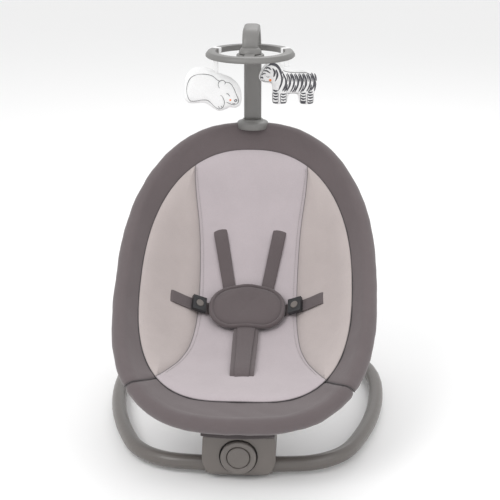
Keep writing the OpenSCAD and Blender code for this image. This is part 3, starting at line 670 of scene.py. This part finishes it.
def make_cover():
    u = seat_angles()
    e = math.radians(0.5)
    x, s = egg(u)
    x0, s0 = egg(u - e)
    x1, s1 = egg(u + e)
    out = np.stack([s1 - s0, x0 - x1], -1)
    out /= np.linalg.norm(out, axis=1)[:, None]
    rows = [dish_row(*egg(u, r, DISH_IN)) for r in INNER_ROWS]
    leave = leave_angle(u)
    for k in range(1, ROLL_ROWS + 1):
        turn = leave + (HEM_TURN - leave) * k / ROLL_ROWS
        rows.append(on_seat(x + out[:, 0] * ROLL_RADIUS * np.cos(turn),
                            s + out[:, 1] * ROLL_RADIUS * np.cos(turn),
                            rim_h(s) + ROLL_RADIUS * np.sin(turn)))
    rows += [dish_row(*egg(u, r, DISH_IN), -COVER_THICKNESS) for r in OUTER_ROWS]
    rows = np.array(rows)
    # Sewn seams pull the padding in, and the cloth between them swells a little.
    count = len(INNER_ROWS) + ROLL_ROWS
    normal = np.cross(np.roll(rows, -1, 1) - np.roll(rows, 1, 1), np.gradient(rows, axis=0))
    normal /= np.maximum(np.linalg.norm(normal, axis=2, keepdims=True), 1e-9)
    if normal[8, 0, 2] < 0:
        normal = -normal
    share = np.clip((np.arange(len(rows)) - 3) / (count - 6), 0, 1)[:, None] ** 0.7
    radius = np.linalg.norm(rows - rows.mean(1, keepdims=True), axis=2)
    seam = np.zeros(rows.shape[:2])
    for word in ("left", "right"):
        centre = CORNER_SEAM_U[0] + (CORNER_SEAM_U[1] - CORNER_SEAM_U[0]) * share
        gap = (u[None, :] - (centre if word == "left" else mirrored(centre))) * radius
        seam += 0.0024 * np.exp(-(gap / 0.0019) ** 2)
        seam += 0.0006 * np.exp(-(gap / 0.012) ** 2) * np.cos(gap / 0.004)
        line = [[np.interp(0, gap[r], rows[r, :, i]) for i in range(3)] for r in range(4, count - 12)]
        # A near-black cord in the corner seam's groove: painted shade of the seam.
        add_seam_shade_cord(f"corner_seam_{word}", line, 0.0009, "seam_thread")
    lift = 0.0007 * ripple(rows, 0.09) + 0.0004 * ripple(rows, 0.035, 2.0)
    wrap = slice(4, count)
    rows[wrap] += (normal * (lift - seam)[:, :, None])[wrap]
    verts, faces = closed_loft(rows)
    cover = add_mesh("seat_cover_fabric", verts, faces, "cover_fabric", "seat")
    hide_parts("seat_cover", "rim_tube")


# ---------------------------------------------------------------- seat liner


def liner_height(x, s, edge_gap):
    """How far the liner's face stands off the bucket: rounded down at its seams."""
    swell = 1 - np.exp(-((edge_gap + 0.0006) / 0.0075))
    place = np.stack([x, s, 0 * x], -1)
    soft = 0.0006 * ripple(place, 0.11, 1.0) + 0.0004 * ripple(place, 0.045, 3.0)
    gathers = 0.00045 * np.sin(s / 0.0035) * np.exp(-edge_gap / 0.012) * swell
    return LINER_GAP + 0.0012 + (LINER_THICKNESS - 0.0012) * swell + (soft + gathers) * swell


def edge_distance(x, s, lines):
    """Distance of each point to the nearest of some polylines."""
    pts = np.stack([x.ravel(), s.ravel()], -1)
    best = np.full(len(pts), 1.0)
    for line in lines:
        a, b = line[:-1], line[1:]
        ab = b - a
        size = np.maximum((ab ** 2).sum(1), 1e-12)
        for start in range(0, len(pts), 4000):
            p = pts[start:start + 4000, None, :]
            t = np.clip(((p - a) * ab).sum(2) / size, 0, 1)
            d = np.linalg.norm(p - a - t[:, :, None] * ab, axis=2).min(1)
            best[start:start + 4000] = np.minimum(best[start:start + 4000], d)
    return best.reshape(x.shape)


def tighten(n, power=1.6):
    """n values from 0 to 1, closer together at both ends."""
    t = np.linspace(-1, 1, n)
    return 0.5 + 0.5 * np.sign(t) * (1 - (1 - np.abs(t)) ** power)


def seam_point(t):
    """The centre seam at t from the foot (0) to the head (1)."""
    s = SEAM_S[0] + (SEAM_S[-1] - SEAM_S[0]) * t
    curve = spline(np.stack([SEAM_X, SEAM_S], -1), 16)
    return np.interp(s, curve[:, 1], curve[:, 0]), s


def boundary(u0, u1, t):
    return liner_edge(u0 + (u1 - u0) * t)


def add_panel(name, x, s, material):
    """A padded panel over a grid of places on the bucket."""
    lines = [np.stack([x[i], s[i]], -1) for i in (0, -1)]
    lines += [np.stack([x[:, i], s[:, i]], -1) for i in (0, -1)]
    gap = edge_distance(x, s, lines)
    up = liner_height(x, s, gap)
    top = dish_row(x, s, up)
    bottom = dish_row(x, s, LINER_GAP)
    verts, faces = slab(top, bottom)
    piece = add_mesh(name, verts, faces, material, "seat")
    return piece


def make_liner():
    foot_u = edge_angle(SEAM_X[0], SEAM_S[0])
    head_u = edge_angle(SEAM_X[-1], SEAM_S[-1])
    if foot_u > math.pi:
        foot_u -= FULL_TURN
    rows, cols = tighten(150), tighten(56)
    inner_x, inner_s = seam_point(rows)
    outer_x, outer_s = boundary(foot_u, head_u, rows)
    # Pull the seam's ends onto the liner's edge.
    for end, weight in ((0, np.exp(-rows / 0.05)), (-1, np.exp(-(1 - rows) / 0.05))):
        inner_x = inner_x + (outer_x[end] - inner_x[end]) * weight
        inner_s = inner_s + (outer_s[end] - inner_s[end]) * weight
    x = inner_x[:, None] * (1 - cols) + outer_x[:, None] * cols
    s = inner_s[:, None] * (1 - cols) + outer_s[:, None] * cols
    add_panel("liner_panel_right", x, s, "liner_fabric")
    add_panel("liner_panel_left", -x, s, "liner_fabric")
    across = tighten(110)
    foot_x, foot_s = boundary(math.pi - foot_u, FULL_TURN + foot_u, across)
    head_x, head_s = boundary(math.pi - head_u, head_u, across)
    t, a = rows[:, None], across[None, :]
    cx = (1 - t) * foot_x + t * head_x + (1 - a) * -inner_x[:, None] + a * inner_x[:, None]
    cs = (1 - t) * foot_s + t * head_s + inner_s[:, None] * (1 - a) + inner_s[:, None] * a
    cx -= (1 - t) * ((1 - a) * foot_x[0] + a * foot_x[-1]) + t * ((1 - a) * head_x[0] + a * head_x[-1])
    cs -= (1 - t) * ((1 - a) * foot_s[0] + a * foot_s[-1]) + t * ((1 - a) * head_s[0] + a * head_s[-1])
    centre = add_panel("liner_panel_centre", cx, cs, "centre_fabric")
    for side, word in ((-1, "left"), (1, "right")):
        line = dish_row(side * inner_x, inner_s, LINER_GAP + 0.0022)
        # A dark cord along the panel seam: painted seam shade.
        add_seam_shade_cord(f"panel_seam_{word}", line, 0.0008, "panel_thread")
    # A near-black cord round the liner's edge: painted seam shade.
    around = np.linspace(0, FULL_TURN, 400)
    ex, es = liner_edge(around)
    add_seam_shade_cord("liner_edge_seam_shade", dish_row(ex, es, 0.0006), 0.0009, "seam_thread")
    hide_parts("seat_liner")


# ---------------------------------------------------------------- harness


def add_strip(name, points, width, thickness, up, material, crown=0.0, node=None):
    """A strap along places (x, s) on the bucket; up is its underside's height there."""
    line = spline(points, 10)
    rise = spline([[h, 0.0] for h in up], 10)[:, 0]
    along = directions(line)
    across = np.stack([-along[:, 1], along[:, 0]], -1)
    half = width / 2
    round_in = min(thickness / 2, half / 3)
    section = [(-half, 0.5), (-half + round_in * 0.3, 0.12), (-half + round_in, 0.0)]
    section += [(half * k, 0.0) for k in (-0.5, 0.0, 0.5)]
    section += [(half - round_in, 0.0), (half - round_in * 0.3, 0.12), (half, 0.5)]
    section += [(half - round_in * 0.3, 0.88), (half - round_in, 1.0)]
    section += [(half * k, 1.0) for k in (0.5, 0.0, -0.5)]
    section += [(-half + round_in, 1.0), (-half + round_in * 0.3, 0.88)]
    rings = []
    for p, a, h in zip(line, across, rise):
        ring = []
        for w, k in section:
            q = p + a * w
            swell = crown * (1 - (w / half) ** 2) if k > 0.6 else 0.0
            ring.append(dish_row(q[0], q[1], h + thickness * k + swell))
        rings.append(ring)
    verts, faces = closed_loft(rings)
    strap = add_mesh(name, verts, faces, material, "seat", node)


def add_stitches(name, path, normals, pitch=0.0045, length=0.003, radius=0.00038, body="seat"):
    """A row of thread stitches along a path of points."""
    path, normals = np.asarray(path), np.asarray(normals)
    run = run_along(path)
    verts, faces = [], []
    for start in np.arange(pitch / 2, run[-1] - length, pitch):
        ends = [np.array([np.interp(v, run, path[:, i]) for i in range(3)])
                for v in (start, start + length)]
        n = np.array([np.interp(start, run, normals[:, i]) for i in range(3)])
        t = ends[1] - ends[0]
        side = np.cross(n, t)
        side /= np.linalg.norm(side)
        for along, lift, k in ((0.0, -0.6, 0.5), (0.2, 0.5, 1.0), (0.8, 0.5, 1.0), (1.0, -0.6, 0.5)):
            for turn in range(6):
                a = turn * math.pi / 3
                verts.append(ends[0] + t * along
                             + radius * (k * math.cos(a) * side + (k * math.sin(a) + lift) * n))
        base = len(verts) - 24
        faces += ring_faces(4, 6, base)
        faces.append(tuple(base + i for i in range(6)))
        faces.append(tuple(base + 18 + i for i in range(6)))
    return add_mesh(name, verts, faces, "thread", body)


def surface_path(x, s, up):
    """Points and outward directions of a line that lies on the bucket."""
    low, high = dish_row(x, s, up), dish_row(x, s, up + 0.001)
    return low, (high - low) / 0.001


SLOT_X, SLOT_S = 0.056, 0.476
STRAP_END = (0.030, 0.346)
STRAP_UP = LINER_TOP + 0.0016
PAD_S = 0.325
PAD_HALF = (0.077, 0.055)
WAIST_S = 0.322


def make_harness():
    for side, word in ((-1, "left"), (1, "right")):
        points = [(side * (SLOT_X + 0.002), SLOT_S + 0.008), (side * SLOT_X, SLOT_S),
                  (side * 0.0535, SLOT_S - 0.012), (side * 0.047, 0.435),
                  (side * 0.038, 0.39), (side * STRAP_END[0], STRAP_END[1])]
        up = [LINER_TOP - 0.007, LINER_TOP - 0.002, STRAP_UP, STRAP_UP, STRAP_UP, STRAP_UP]
        add_strip(f"shoulder_sleeve_{word}", points, 0.027, 0.0028, up, "strap_cover", 0.0014,
                  f"shoulder_strap_{word}")
        points = [(side * v, WAIST_S) for v in (0.062, 0.08, 0.1, 0.12, 0.14, 0.146)]
        up = [STRAP_UP] * 4 + [STRAP_UP - 0.001, LINER_TOP - 0.006]
        add_strip(f"waist_webbing_{word}", points, 0.026, 0.0018, up, "webbing",
                  node=f"waist_strap_{word}")
    points = [(0, v) for v in (0.273, 0.25, 0.22, 0.18, 0.14, 0.128)]
    up = [STRAP_UP + 0.0026] * 4 + [STRAP_UP + 0.001, LINER_TOP - 0.006]
    add_strip("crotch_sleeve", points, 0.040, 0.003, up, "strap_cover", 0.0012, "crotch_strap")
    lift = [h + 0.0046 for h in up]
    add_strip("crotch_webbing", points, 0.024, 0.0014, lift, "webbing")


def make_tummy_pad():
    """A puffed oval with a bound edge and a sewn channel inside the binding."""
    low = LINER_TOP + 0.0062
    around = round_angles(120)
    # (share of the radius, height) from the underside's middle to the top's middle
    profile = [(0.25, 0.0), (0.5, 0.0), (0.75, 0.0), (0.9, 0.0002), (0.955, 0.0004),
               (0.985, 0.0016), (1.0, 0.0042), (0.996, 0.0066), (0.98, 0.0084),
               (0.955, 0.0092), (0.93, 0.009), (0.908, 0.0078), (0.895, 0.0066),
               (0.882, 0.0074), (0.86, 0.009), (0.82, 0.0106), (0.75, 0.0124),
               (0.65, 0.014), (0.5, 0.0153), (0.35, 0.016), (0.2, 0.0163), (0.08, 0.0164)]
    rings = []
    for r, h in profile:
        c, d = squircle(around, 2.3)
        x = PAD_HALF[0] * r * c
        s = PAD_S + PAD_HALF[1] * r * d - 0.004 * (x / PAD_HALF[0]) ** 2
        gather = 0.00035 * np.sin(around * 46) * math.exp(-((r - 0.86) / 0.05) ** 2)
        rings.append(dish_row(x, s, low + h + gather))
    verts, faces = closed_loft(rings)
    pad = add_mesh("tummy_cushion", verts, faces, "strap_cover", "seat")
    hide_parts("tummy_pad")


def make_seam_stitches():
    t = np.linspace(0.02, 0.98, 200)
    x, s = seam_point(t)
    for side, word in ((-1, "left"), (1, "right")):
        path, normal = surface_path(side * (x - 0.005), s, LINER_TOP - 0.0032)
        add_stitches(f"centre_stitches_{word}", path, normal)
    u = np.linspace(0, FULL_TURN, 720)
    x, s = liner_edge(u, 0.005)
    path, normal = surface_path(x, s, LINER_TOP - 0.0045)
    add_stitches("edge_stitches", path, normal)


# ---------------------------------------------------------------- toys

TOY_THICKNESS = 0.018


def signed_gap(points, outline):
    """Distance inside a closed outline, negative outside it."""
    closed = np.vstack([outline, outline[:1]])
    gap = edge_distance(points[:, 0], points[:, 1], [closed])
    x, z = points[:, 0][:, None], points[:, 1][:, None]
    a, b = closed[:-1], closed[1:]
    spans = (a[:, 1] > z) != (b[:, 1] > z)
    with np.errstate(divide="ignore", invalid="ignore"):
        cut = a[:, 0] + (z - a[:, 1]) * (b[:, 0] - a[:, 0]) / (b[:, 1] - a[:, 1])
    inside = (spans & (x < cut)).sum(1) % 2 == 1
    return np.where(inside, gap, -gap)


class Toy:
    """A flat stuffed toy, drawn in x and z from the foot of its ribbon."""

    def __init__(self, name, outline, material):
        self.body, self.material, self.name = name, material, name
        low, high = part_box(f"{name}_strap")
        self.origin = np.array([(low.x + high.x) / 2, (low.y + high.y) / 2, low.z])
        self.outline = spline(np.array(outline) / 1000.0, 6, closed=True)

    def half(self, points):
        """Half thickness at places in the outline."""
        d = np.clip(signed_gap(points, self.outline), 0, None)
        k = np.clip(d / 0.016, 0, 1)
        return 0.0012 + (TOY_THICKNESS / 2 - 0.0012) * np.sqrt(1 - (1 - k) ** 2)

    def make_body(self):
        count = len(self.outline)
        verts = [(p[0], y, p[1]) for y in (-0.006, 0.006) for p in self.outline]
        faces = [tuple(range(count)), tuple(range(2 * count - 1, count - 1, -1))]
        faces += [(i, (i + 1) % count, count + (i + 1) % count, count + i) for i in range(count)]
        mesh = bpy.data.meshes.new(self.name)
        mesh.from_pydata(verts, [], faces)
        piece = new_object(f"{self.name}_cushion", mesh)
        fine = remesh(piece, 0.0014)
        co = np.zeros(len(fine.vertices) * 3)
        fine.vertices.foreach_get("co", co)
        co = co.reshape(-1, 3)
        half = self.half(co[:, [0, 2]])
        co[:, 1] = co[:, 1] / 0.006 * half
        soft = 0.0005 * ripple(co, 0.03, 1.5)
        co[:, 1] += soft * np.sign(co[:, 1]) * (half > 0.004)
        co += self.origin
        fine.vertices.foreach_set("co", co.ravel())
        fine.update()
        dress(fine, self.material)
        add_smoothing(piece, 4)
        settle(piece, self.body, f"{self.name}_toy")

    def place(self, points, front, lift=0.0004):
        """Points on the toy's front or back face."""
        points = np.asarray(points, float)
        half = self.half(points) + lift
        y = -half if front else half
        return np.stack([points[:, 0], y, points[:, 1]], -1) + self.origin

    def ink(self, name, lines, material):
        """Printed lines; each is (points in mm, widest width in mm, tapered)."""
        verts, faces = [], []
        for front in (True, False):
            for points, width, taper in lines:
                line = spline(np.array(points, float) / 1000.0, 8)
                along = directions(line)
                across = np.stack([-along[:, 1], along[:, 0]], -1)
                t = np.linspace(0, 1, len(line))
                w = width / 2000.0 * (np.sin(math.pi * t) ** 0.6 * 0.92 + 0.08 if taper else 1 + 0 * t)
                strips = [self.place(line + across * (w * k)[:, None], front, lift)
                          for k, lift in ((-1, -0.0003), (-0.7, 0.0004), (0, 0.00055),
                                          (0.7, 0.0004), (1, -0.0003))]
                base, rows = len(verts), len(line)
                for strip in strips:
                    verts += list(strip)
                for c in range(4):
                    for r in range(rows - 1):
                        a = base + c * rows + r
                        faces.append((a, a + 1, a + 1 + rows, a + rows))
        return add_mesh(name, verts, faces, material, self.body)

    def spot(self, name, centre, radius, material):
        """A printed round spot on both faces."""
        verts, faces = [], []
        for front in (True, False):
            base = len(verts)
            verts += list(self.place([np.array(centre) / 1000.0], front, 0.0007))
            for k in (0.5, 1.0):
                ring = [(centre[0] / 1000 + radius * k / 1000 * math.cos(a),
                         centre[1] / 1000 + radius * k / 1000 * math.sin(a))
                        for a in round_angles(20)]
                verts += list(self.place(ring, front, 0.0007 if k < 1 else 0.0001))
            faces += [(base, base + 1 + i, base + 1 + (i + 1) % 20) for i in range(20)]
            faces += ring_faces(2, 20, base + 1)
        return add_mesh(name, verts, faces, material, self.body)


def make_bear():
    bear = Toy("bear", [(-57, -51), (-58, -38), (-57, -21), (-54, -7), (-46, 3), (-36, 8),
                        (-22, 9), (-8, 6), (1, 0), (15, -5), (29, -11), (40, -21), (46, -35),
                        (47, -51), (44, -61), (36, -66), (26, -65), (18, -69), (6, -72),
                        (-5, -67), (-15, -60), (-25, -57), (-37, -58), (-49, -58)],
               "bear_plush")
    bear.make_body()
    back = [(-50, -48), (-53, -35), (-51, -21), (-45, -10), (-34, -4), (-19, -3), (-6, -6),
            (3, -13), (8, -16)]
    head = [(17, -17), (26, -19), (32, -26), (36, -35), (40, -45), (42, -52), (39, -57),
            (33, -59), (26, -57), (20, -54)]
    ear = [(7, -28), (5, -22), (7, -16), (13, -14), (18, -17), (17, -21)]
    arm = [(9, -41), (13, -45), (16, -53), (15, -60), (11, -66), (4, -67), (-3, -62), (-10, -55),
           (-16, -51), (-27, -51), (-37, -53), (-46, -53), (-50, -48)]
    toes = [[(5, -62), (7, -66)], [(10, -61), (12, -65)]]
    eye = [(20, -38), (23, -39), (26, -43)]
    nose = [(34, -51), (37, -49), (39, -51), (36, -53), (34, -51)]
    mouth = [(31, -56), (33, -57), (36, -56)]
    bear.ink("bear_lines", [(line, 1.05, False) for line in (back, head, ear, arm, *toes)], "ink_grey")
    bear.ink("bear_face", [(line, 1.4, False) for line in (eye, nose, mouth)], "ink_dark")
    bear.spot("bear_cheek", (27, -50), 2.4, "ink_orange")


def make_zebra():
    zebra = Toy("zebra", [(-48, -14), (-43, -3), (-35, 4), (-24, 7), (-14, 6), (-7, 0), (1, -6),
                          (13, -9), (28, -8), (41, -11), (50, -18), (54, -30), (54, -42),
                          (51, -51), (51, -64), (46, -70), (37, -71), (27, -70), (23, -64),
                          (21, -54), (13, -51), (5, -53), (3, -62), (0, -69), (-8, -71),
                          (-19, -71), (-25, -67), (-26, -55), (-26, -39), (-29, -33), (-38, -32),
                          (-46, -29), (-50, -22)],
                "zebra_plush")
    zebra.make_body()
    dark = []
    for k in range(9):
        x = -13 + 7.3 * k
        top, low = -13 + (k == 0) * 5, -48 + 0.8 * abs(k - 4)
        dark.append(([(x, top), (x + 5, top - 11), (x + 4.5, top - 22), (x - 1, low)], 3.6, True))
        dark.append(([(x + 5.2, top - 1), (x + 8, top - 8), (x + 9, top - 15)], 2.2, True))
        if k % 2:
            dark.append(([(x + 8, low + 13), (x + 6, low + 5), (x + 2, low - 1)], 2.6, True))
    for x, top in ((-19.5, -44), (-5, -50), (31, -48), (44, -46)):
        for i in range(int((68 + top) / 5)):
            z = top - 1 - i * 5.2
            dark.append(([(x - 4.6, z + 0.8), (x, z - 0.8), (x + 4.6, z + 0.6)], 2.9, True))
        dark.append(([(x - 4.4, -67.5), (x, -67.9), (x + 4.4, -67.5)], 3.2, False))
    dark += [([(-33, 0), (-27, 3), (-18, 1), (-12, -6), (-8, -14)], 4.4, True),
             ([(-38, -5), (-33, -3), (-27, -7)], 3.2, True),
             ([(-41, -9), (-35, -9), (-29, -13)], 2.4, True),
             ([(-25, -4), (-21, -11), (-23, -20)], 3.4, True),
             ([(-19, -6), (-16, -16), (-20, -28)], 3.2, True),
             ([(-44, -17), (-41, -14), (-37, -14)], 2.0, True),
             ([(-47, -23), (-44, -21), (-42, -23)], 2.6, True),
             ([(51, -24), (53, -34), (51, -46)], 2.6, True)]
    dark = [(line, width * 1.2, taper) for line, width, taper in dark]
    zebra.ink("zebra_stripes", dark, "ink_dark")
    head = [(-26, -32), (-31, -29), (-40, -29), (-46, -26), (-47, -20), (-43, -12), (-38, -3),
            (-30, 2)]
    legs = [[(x + dx, -50), (x + dx, -67)] for x in (-19.5, -5, 31, 44) for dx in (-5, 5)]
    belly = [(0, -49), (10, -51), (24, -49)]
    back = [(-6, -8), (4, -11), (20, -12), (36, -12), (46, -18), (51, -28)]
    face = [[(-36, -19), (-33, -20.5), (-31, -19)], [(-45, -22), (-43.5, -23.5)],
            [(-44, -26), (-39, -26.5)]]
    zebra.ink("zebra_lines", [(line, 0.9, False) for line in (head, belly, back, *legs, *face)],
              "ink_grey")
    zebra.spot("zebra_cheek", (-29, -26), 2.4, "ink_orange")


# ---------------------------------------------------------------- toy bar and ring

BAR_WIDTH, BAR_DEPTH = 0.032, 0.018
BEND = 0.027


def make_toy_bar():
    """A post of rounded section that bends over forward and narrows to the hub."""
    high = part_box("toy_bar")[1]
    crest = high.z - BAR_DEPTH / 2 + 0.0012
    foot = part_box("toy_bar_socket")[1].z + 0.0006
    line = [(HEAD[1], z, 0.0) for z in np.linspace(foot, crest - BEND, 24)]
    for a in np.linspace(0, math.pi / 2, 17)[1:]:
        line.append((HEAD[1] - BEND * (1 - math.cos(a)), crest - BEND * (1 - math.sin(a)), a))
    for a in np.linspace(math.pi / 2, math.radians(178), 17):
        line.append((RING_CENTRE[1] + BEND * (1 + math.cos(a)), crest - BEND * (1 - math.sin(a)), a))
    line = np.array(line)
    run = run_along(line[:, :2])
    taper = np.clip((run - run[20]) / (run[32] - run[20]), 0, 1)
    rings = []
    for (y, z, a), f in zip(line, taper):
        w, t = BAR_WIDTH + 0.0006 - 0.0035 * f, BAR_DEPTH - 0.003 * f
        c, d = squircle(round_angles(48), 3.6)
        ex, ey = c * w / 2, d * t / 2
        rings.append(np.stack([ex, y + ey * math.cos(a), z + ey * math.sin(a)], -1))
    end = rings[0].mean(0)
    lip = end + (rings[0] - end) * 0.93
    lip[:, 2] -= 0.0005
    verts, faces = closed_loft([lip, *rings])
    add_mesh("toy_bar_arch", verts, faces, "bar_plastic", "toy_arch", node="toy_bar")


# The toy ring's section, as (radius, height) in mm.
RING_SECTION = [(62.0, -4.0), (62.0, 4.2), (62.8, 5.0), (75.4, 5.0), (76.2, 4.6), (79.8, -0.2),
                (80.0, -1.0), (80.0, -3.4), (78.4, -5.0), (63.0, -5.0)]
HANG_TURN = math.radians(25)


def add_beam(name, start, end, width, thickness, material, body):
    """A straight bar of rounded section between two points at one height."""
    start, end = np.array(start), np.array(end)
    along = (end - start) / np.linalg.norm(end - start)
    side = np.cross(along, (0, 0, 1))
    c, d = squircle(round_angles(40), 6)
    rings = []
    for t, size in ((0.0, 0.9), (0.02, 1.0), (0.98, 1.0), (1.0, 0.9)):
        p = start + (end - start) * t
        rings.append(p + size * width / 2 * c[:, None] * side
                     + size * thickness / 2 * d[:, None] * np.array((0, 0, 1)))
    verts, faces = closed_loft(rings)
    sharpen(add_mesh(name, verts, faces, material, body))


def make_ring():
    ring = RING_CENTRE
    lathe("toy_ring_band", RING_SECTION, ring, "bar_plastic", "ring", node="toy_ring",
          hollow=True, steps=144)
    low = (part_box("toy_ring")[0].z - ring[2]) * 1000
    lathe("ring_hub", [(0.1, low), (21.5, low), (23.6, low + 0.5), (24.9, low + 1.8),
                       (25.0, -4.0), (24.7, -2.4), (23.8, -1.3), (22.4, -0.8), (0.1, -0.8)],
          ring, "bar_plastic", "ring")
    for side, word in ((-1, "front"), (1, "rear")):
        add_beam(f"ring_spoke_{word}", ring + [0, side * 0.022, -0.0005],
                 ring + [0, side * 0.0645, -0.0005], 0.018, 0.007, "bar_plastic", "ring")
    lathe("hub_bell", [(0.1, 0.2), (20.0, 0.2), (20.5, 0.9), (20.4, 2.4), (19.7, 4.8),
                       (18.4, 7.2), (16.8, 9.2), (14.6, 10.6), (8.0, 11.2), (0.1, 11.2)],
          ring, "bar_plastic", "toy_arch", node="hub_cap")
    # A near-black disc between the hub bell and the hub: painted shade in the gap.
    lathe("hub_gap_painted_shade", [(0.1, -0.9), (18.6, -0.9), (18.6, 0.3), (0.1, 0.3)], ring, "gap_black",
          "toy_arch")
    lathe("hub_foot", [(0.1, low - 4.2), (7.4, low - 4.2), (9.0, low - 3.4), (9.6, low - 2.0),
                       (9.6, low + 0.4), (0.1, low + 0.4)],
          ring, "bar_plastic", "toy_arch")
    # Fabric wraps that carry the toys.
    middle = np.array((71.0, 0.0))
    for side, word in ((-1, "left"), (1, "right")):
        turn = HANG_TURN if side > 0 else math.pi - HANG_TURN
        rings = []
        for t, lift in ((-5.2, 0.2), (-4.9, 0.8), (-4.2, 1.05), (-2, 0.95), (0, 1.05), (2, 0.95),
                        (4.2, 1.05), (4.9, 0.8), (5.2, 0.2)):
            a = turn + t / 71.0
            around = np.array(RING_SECTION)
            reach = np.linalg.norm(around - middle, axis=1, keepdims=True)
            around = middle + (around - middle) * (1 + lift / reach)
            rings.append(np.stack([around[:, 0] * math.cos(a), around[:, 0] * math.sin(a),
                                   around[:, 1]], -1) / 1000 + ring)
        verts, faces = closed_loft(rings)
        add_mesh(f"ring_wrap_{word}", verts, faces, "ribbon_white", "ring", node="toy_loops")


def make_ribbon(name):
    """The flat ribbon from a ring wrap down to a toy."""
    low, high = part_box(f"{name}_strap")
    x, y = (low.x + high.x) / 2, (low.y + high.y) / 2
    top = RING_CENTRE[2] - 0.0055
    rows = np.linspace(top, low.z - 0.002, 14)
    wave = 0.0007 * np.sin((rows - top) * 260)
    cols = np.linspace(-0.0047, 0.0047, 7)
    front = np.array([[(x + c, y - 0.0004 + w, z) for c in cols] for z, w in zip(rows, wave)])
    back = front + np.array((0, 0.0008, 0))
    verts, faces = slab(front, back)
    add_mesh(f"{name}_ribbon", verts, faces, "ribbon_white", name, node=f"{name}_strap")


def make_collar():
    """The round collar on the rim that the post turns in."""
    mould("toy_bar_socket", "seat", "bar_plastic", 0.0009, 4)
    lathe("bar_collar", [(10, 3.6), (27.6, 3.6), (28.8, 4.4), (29.3, 6.0), (29.3, 13.2),
                         (28.8, 14.9), (27.4, 16.1), (24.4, 17.2), (21.0, 18.4), (19.2, 19.8),
                         (18.6, 21.2), (10, 21.2)],
          HEAD, "bar_plastic", "seat")


def make_dial():
    low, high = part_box("speed_dial")
    centre = np.array(((low.x + high.x) / 2, high.y - 0.009, (low.z + high.z) / 2))
    lathe("dial_grip", [(19.2, -8), (29.3, -8), (29.5, -7.6), (29.5, 2.0), (29.1, 3.4),
                        (28.0, 4.5), (26.4, 5.0), (24.2, 4.9), (22.0, 4.2), (20.4, 3.2),
                        (19.5, 2.2), (19.2, 1.2)],
          centre, "dial_plastic", "dial", node="speed_dial", forward=True, hollow=True)
    lathe("button_face", [(0.1, -2.9), (18.2, -2.9), (18.5, -2.5), (18.5, 2.0),
                          (18.2, 2.8), (17.5, 3.3), (15.0, 3.4), (8.0, 3.15), (0.1, 3.05)],
          centre, "dial_plastic", "power_button", node="power_button", forward=True)
    # A near-black ring round the dial in the housing's recess: painted shade.
    lathe("dial_well_painted_shade", [(29.8, -7.4), (31.2, -7.4), (31.2, -0.4), (30.9, -0.4), (30.9, -6.4),
                        (29.8, -6.4)],
          centre, "gap_black", "base", forward=True, hollow=True)


def mould(node, body, material, voxel, rounds):
    """A CAD shell remade with the soft edges of a moulding; it stands for the node."""
    piece = new_object(f"{node}_moulding", frame["nodes"][node].data.copy())
    dress(remesh(piece, voxel, rounds), material)
    settle(piece, body, node)


def soften(node, width, body, material):
    """A copy of a CAD node with rounded edges, which stands for it."""
    mesh = frame["nodes"][node].data.copy()
    bm = bmesh.new()
    bm.from_mesh(mesh)
    bmesh.ops.remove_doubles(bm, verts=bm.verts, dist=1e-6)
    bmesh.ops.dissolve_limit(bm, angle_limit=math.radians(0.5), verts=bm.verts, edges=bm.edges)
    bm.to_mesh(mesh)
    bm.free()
    dress(mesh, material)
    piece = new_object(f"{node}_shell", mesh)
    bevel = piece.modifiers.new("bevel", "BEVEL")
    bevel.width = width
    bevel.segments = 3
    bevel.limit_method = "ANGLE"
    bevel.angle_limit = math.radians(38)
    bevel.use_clamp_overlap = True
    bevel.harden_normals = True
    settle(piece, body, node)


# ---------------------------------------------------------------- assembly

finish_cad_nodes()
make_cover()
make_liner()
make_harness()
make_tummy_pad()
make_seam_stitches()
make_bear()
make_zebra()
make_toy_bar()
make_ring()
make_ribbon("bear")
make_ribbon("zebra")
make_dial()
mould("pod_housing", "base", "pod_plastic", 0.0011, 5)
mould("front_cradle", "seat", "cradle_fabric", 0.0011, 6)
soften("sway_hub", 0.0015, "sway", "pod_plastic")
soften("seat_bracket", 0.002, "seat", "pod_plastic")
make_collar()
for word in ("left", "right"):
    soften(f"buckle_{word}", 0.0012, "seat", "black_plastic")
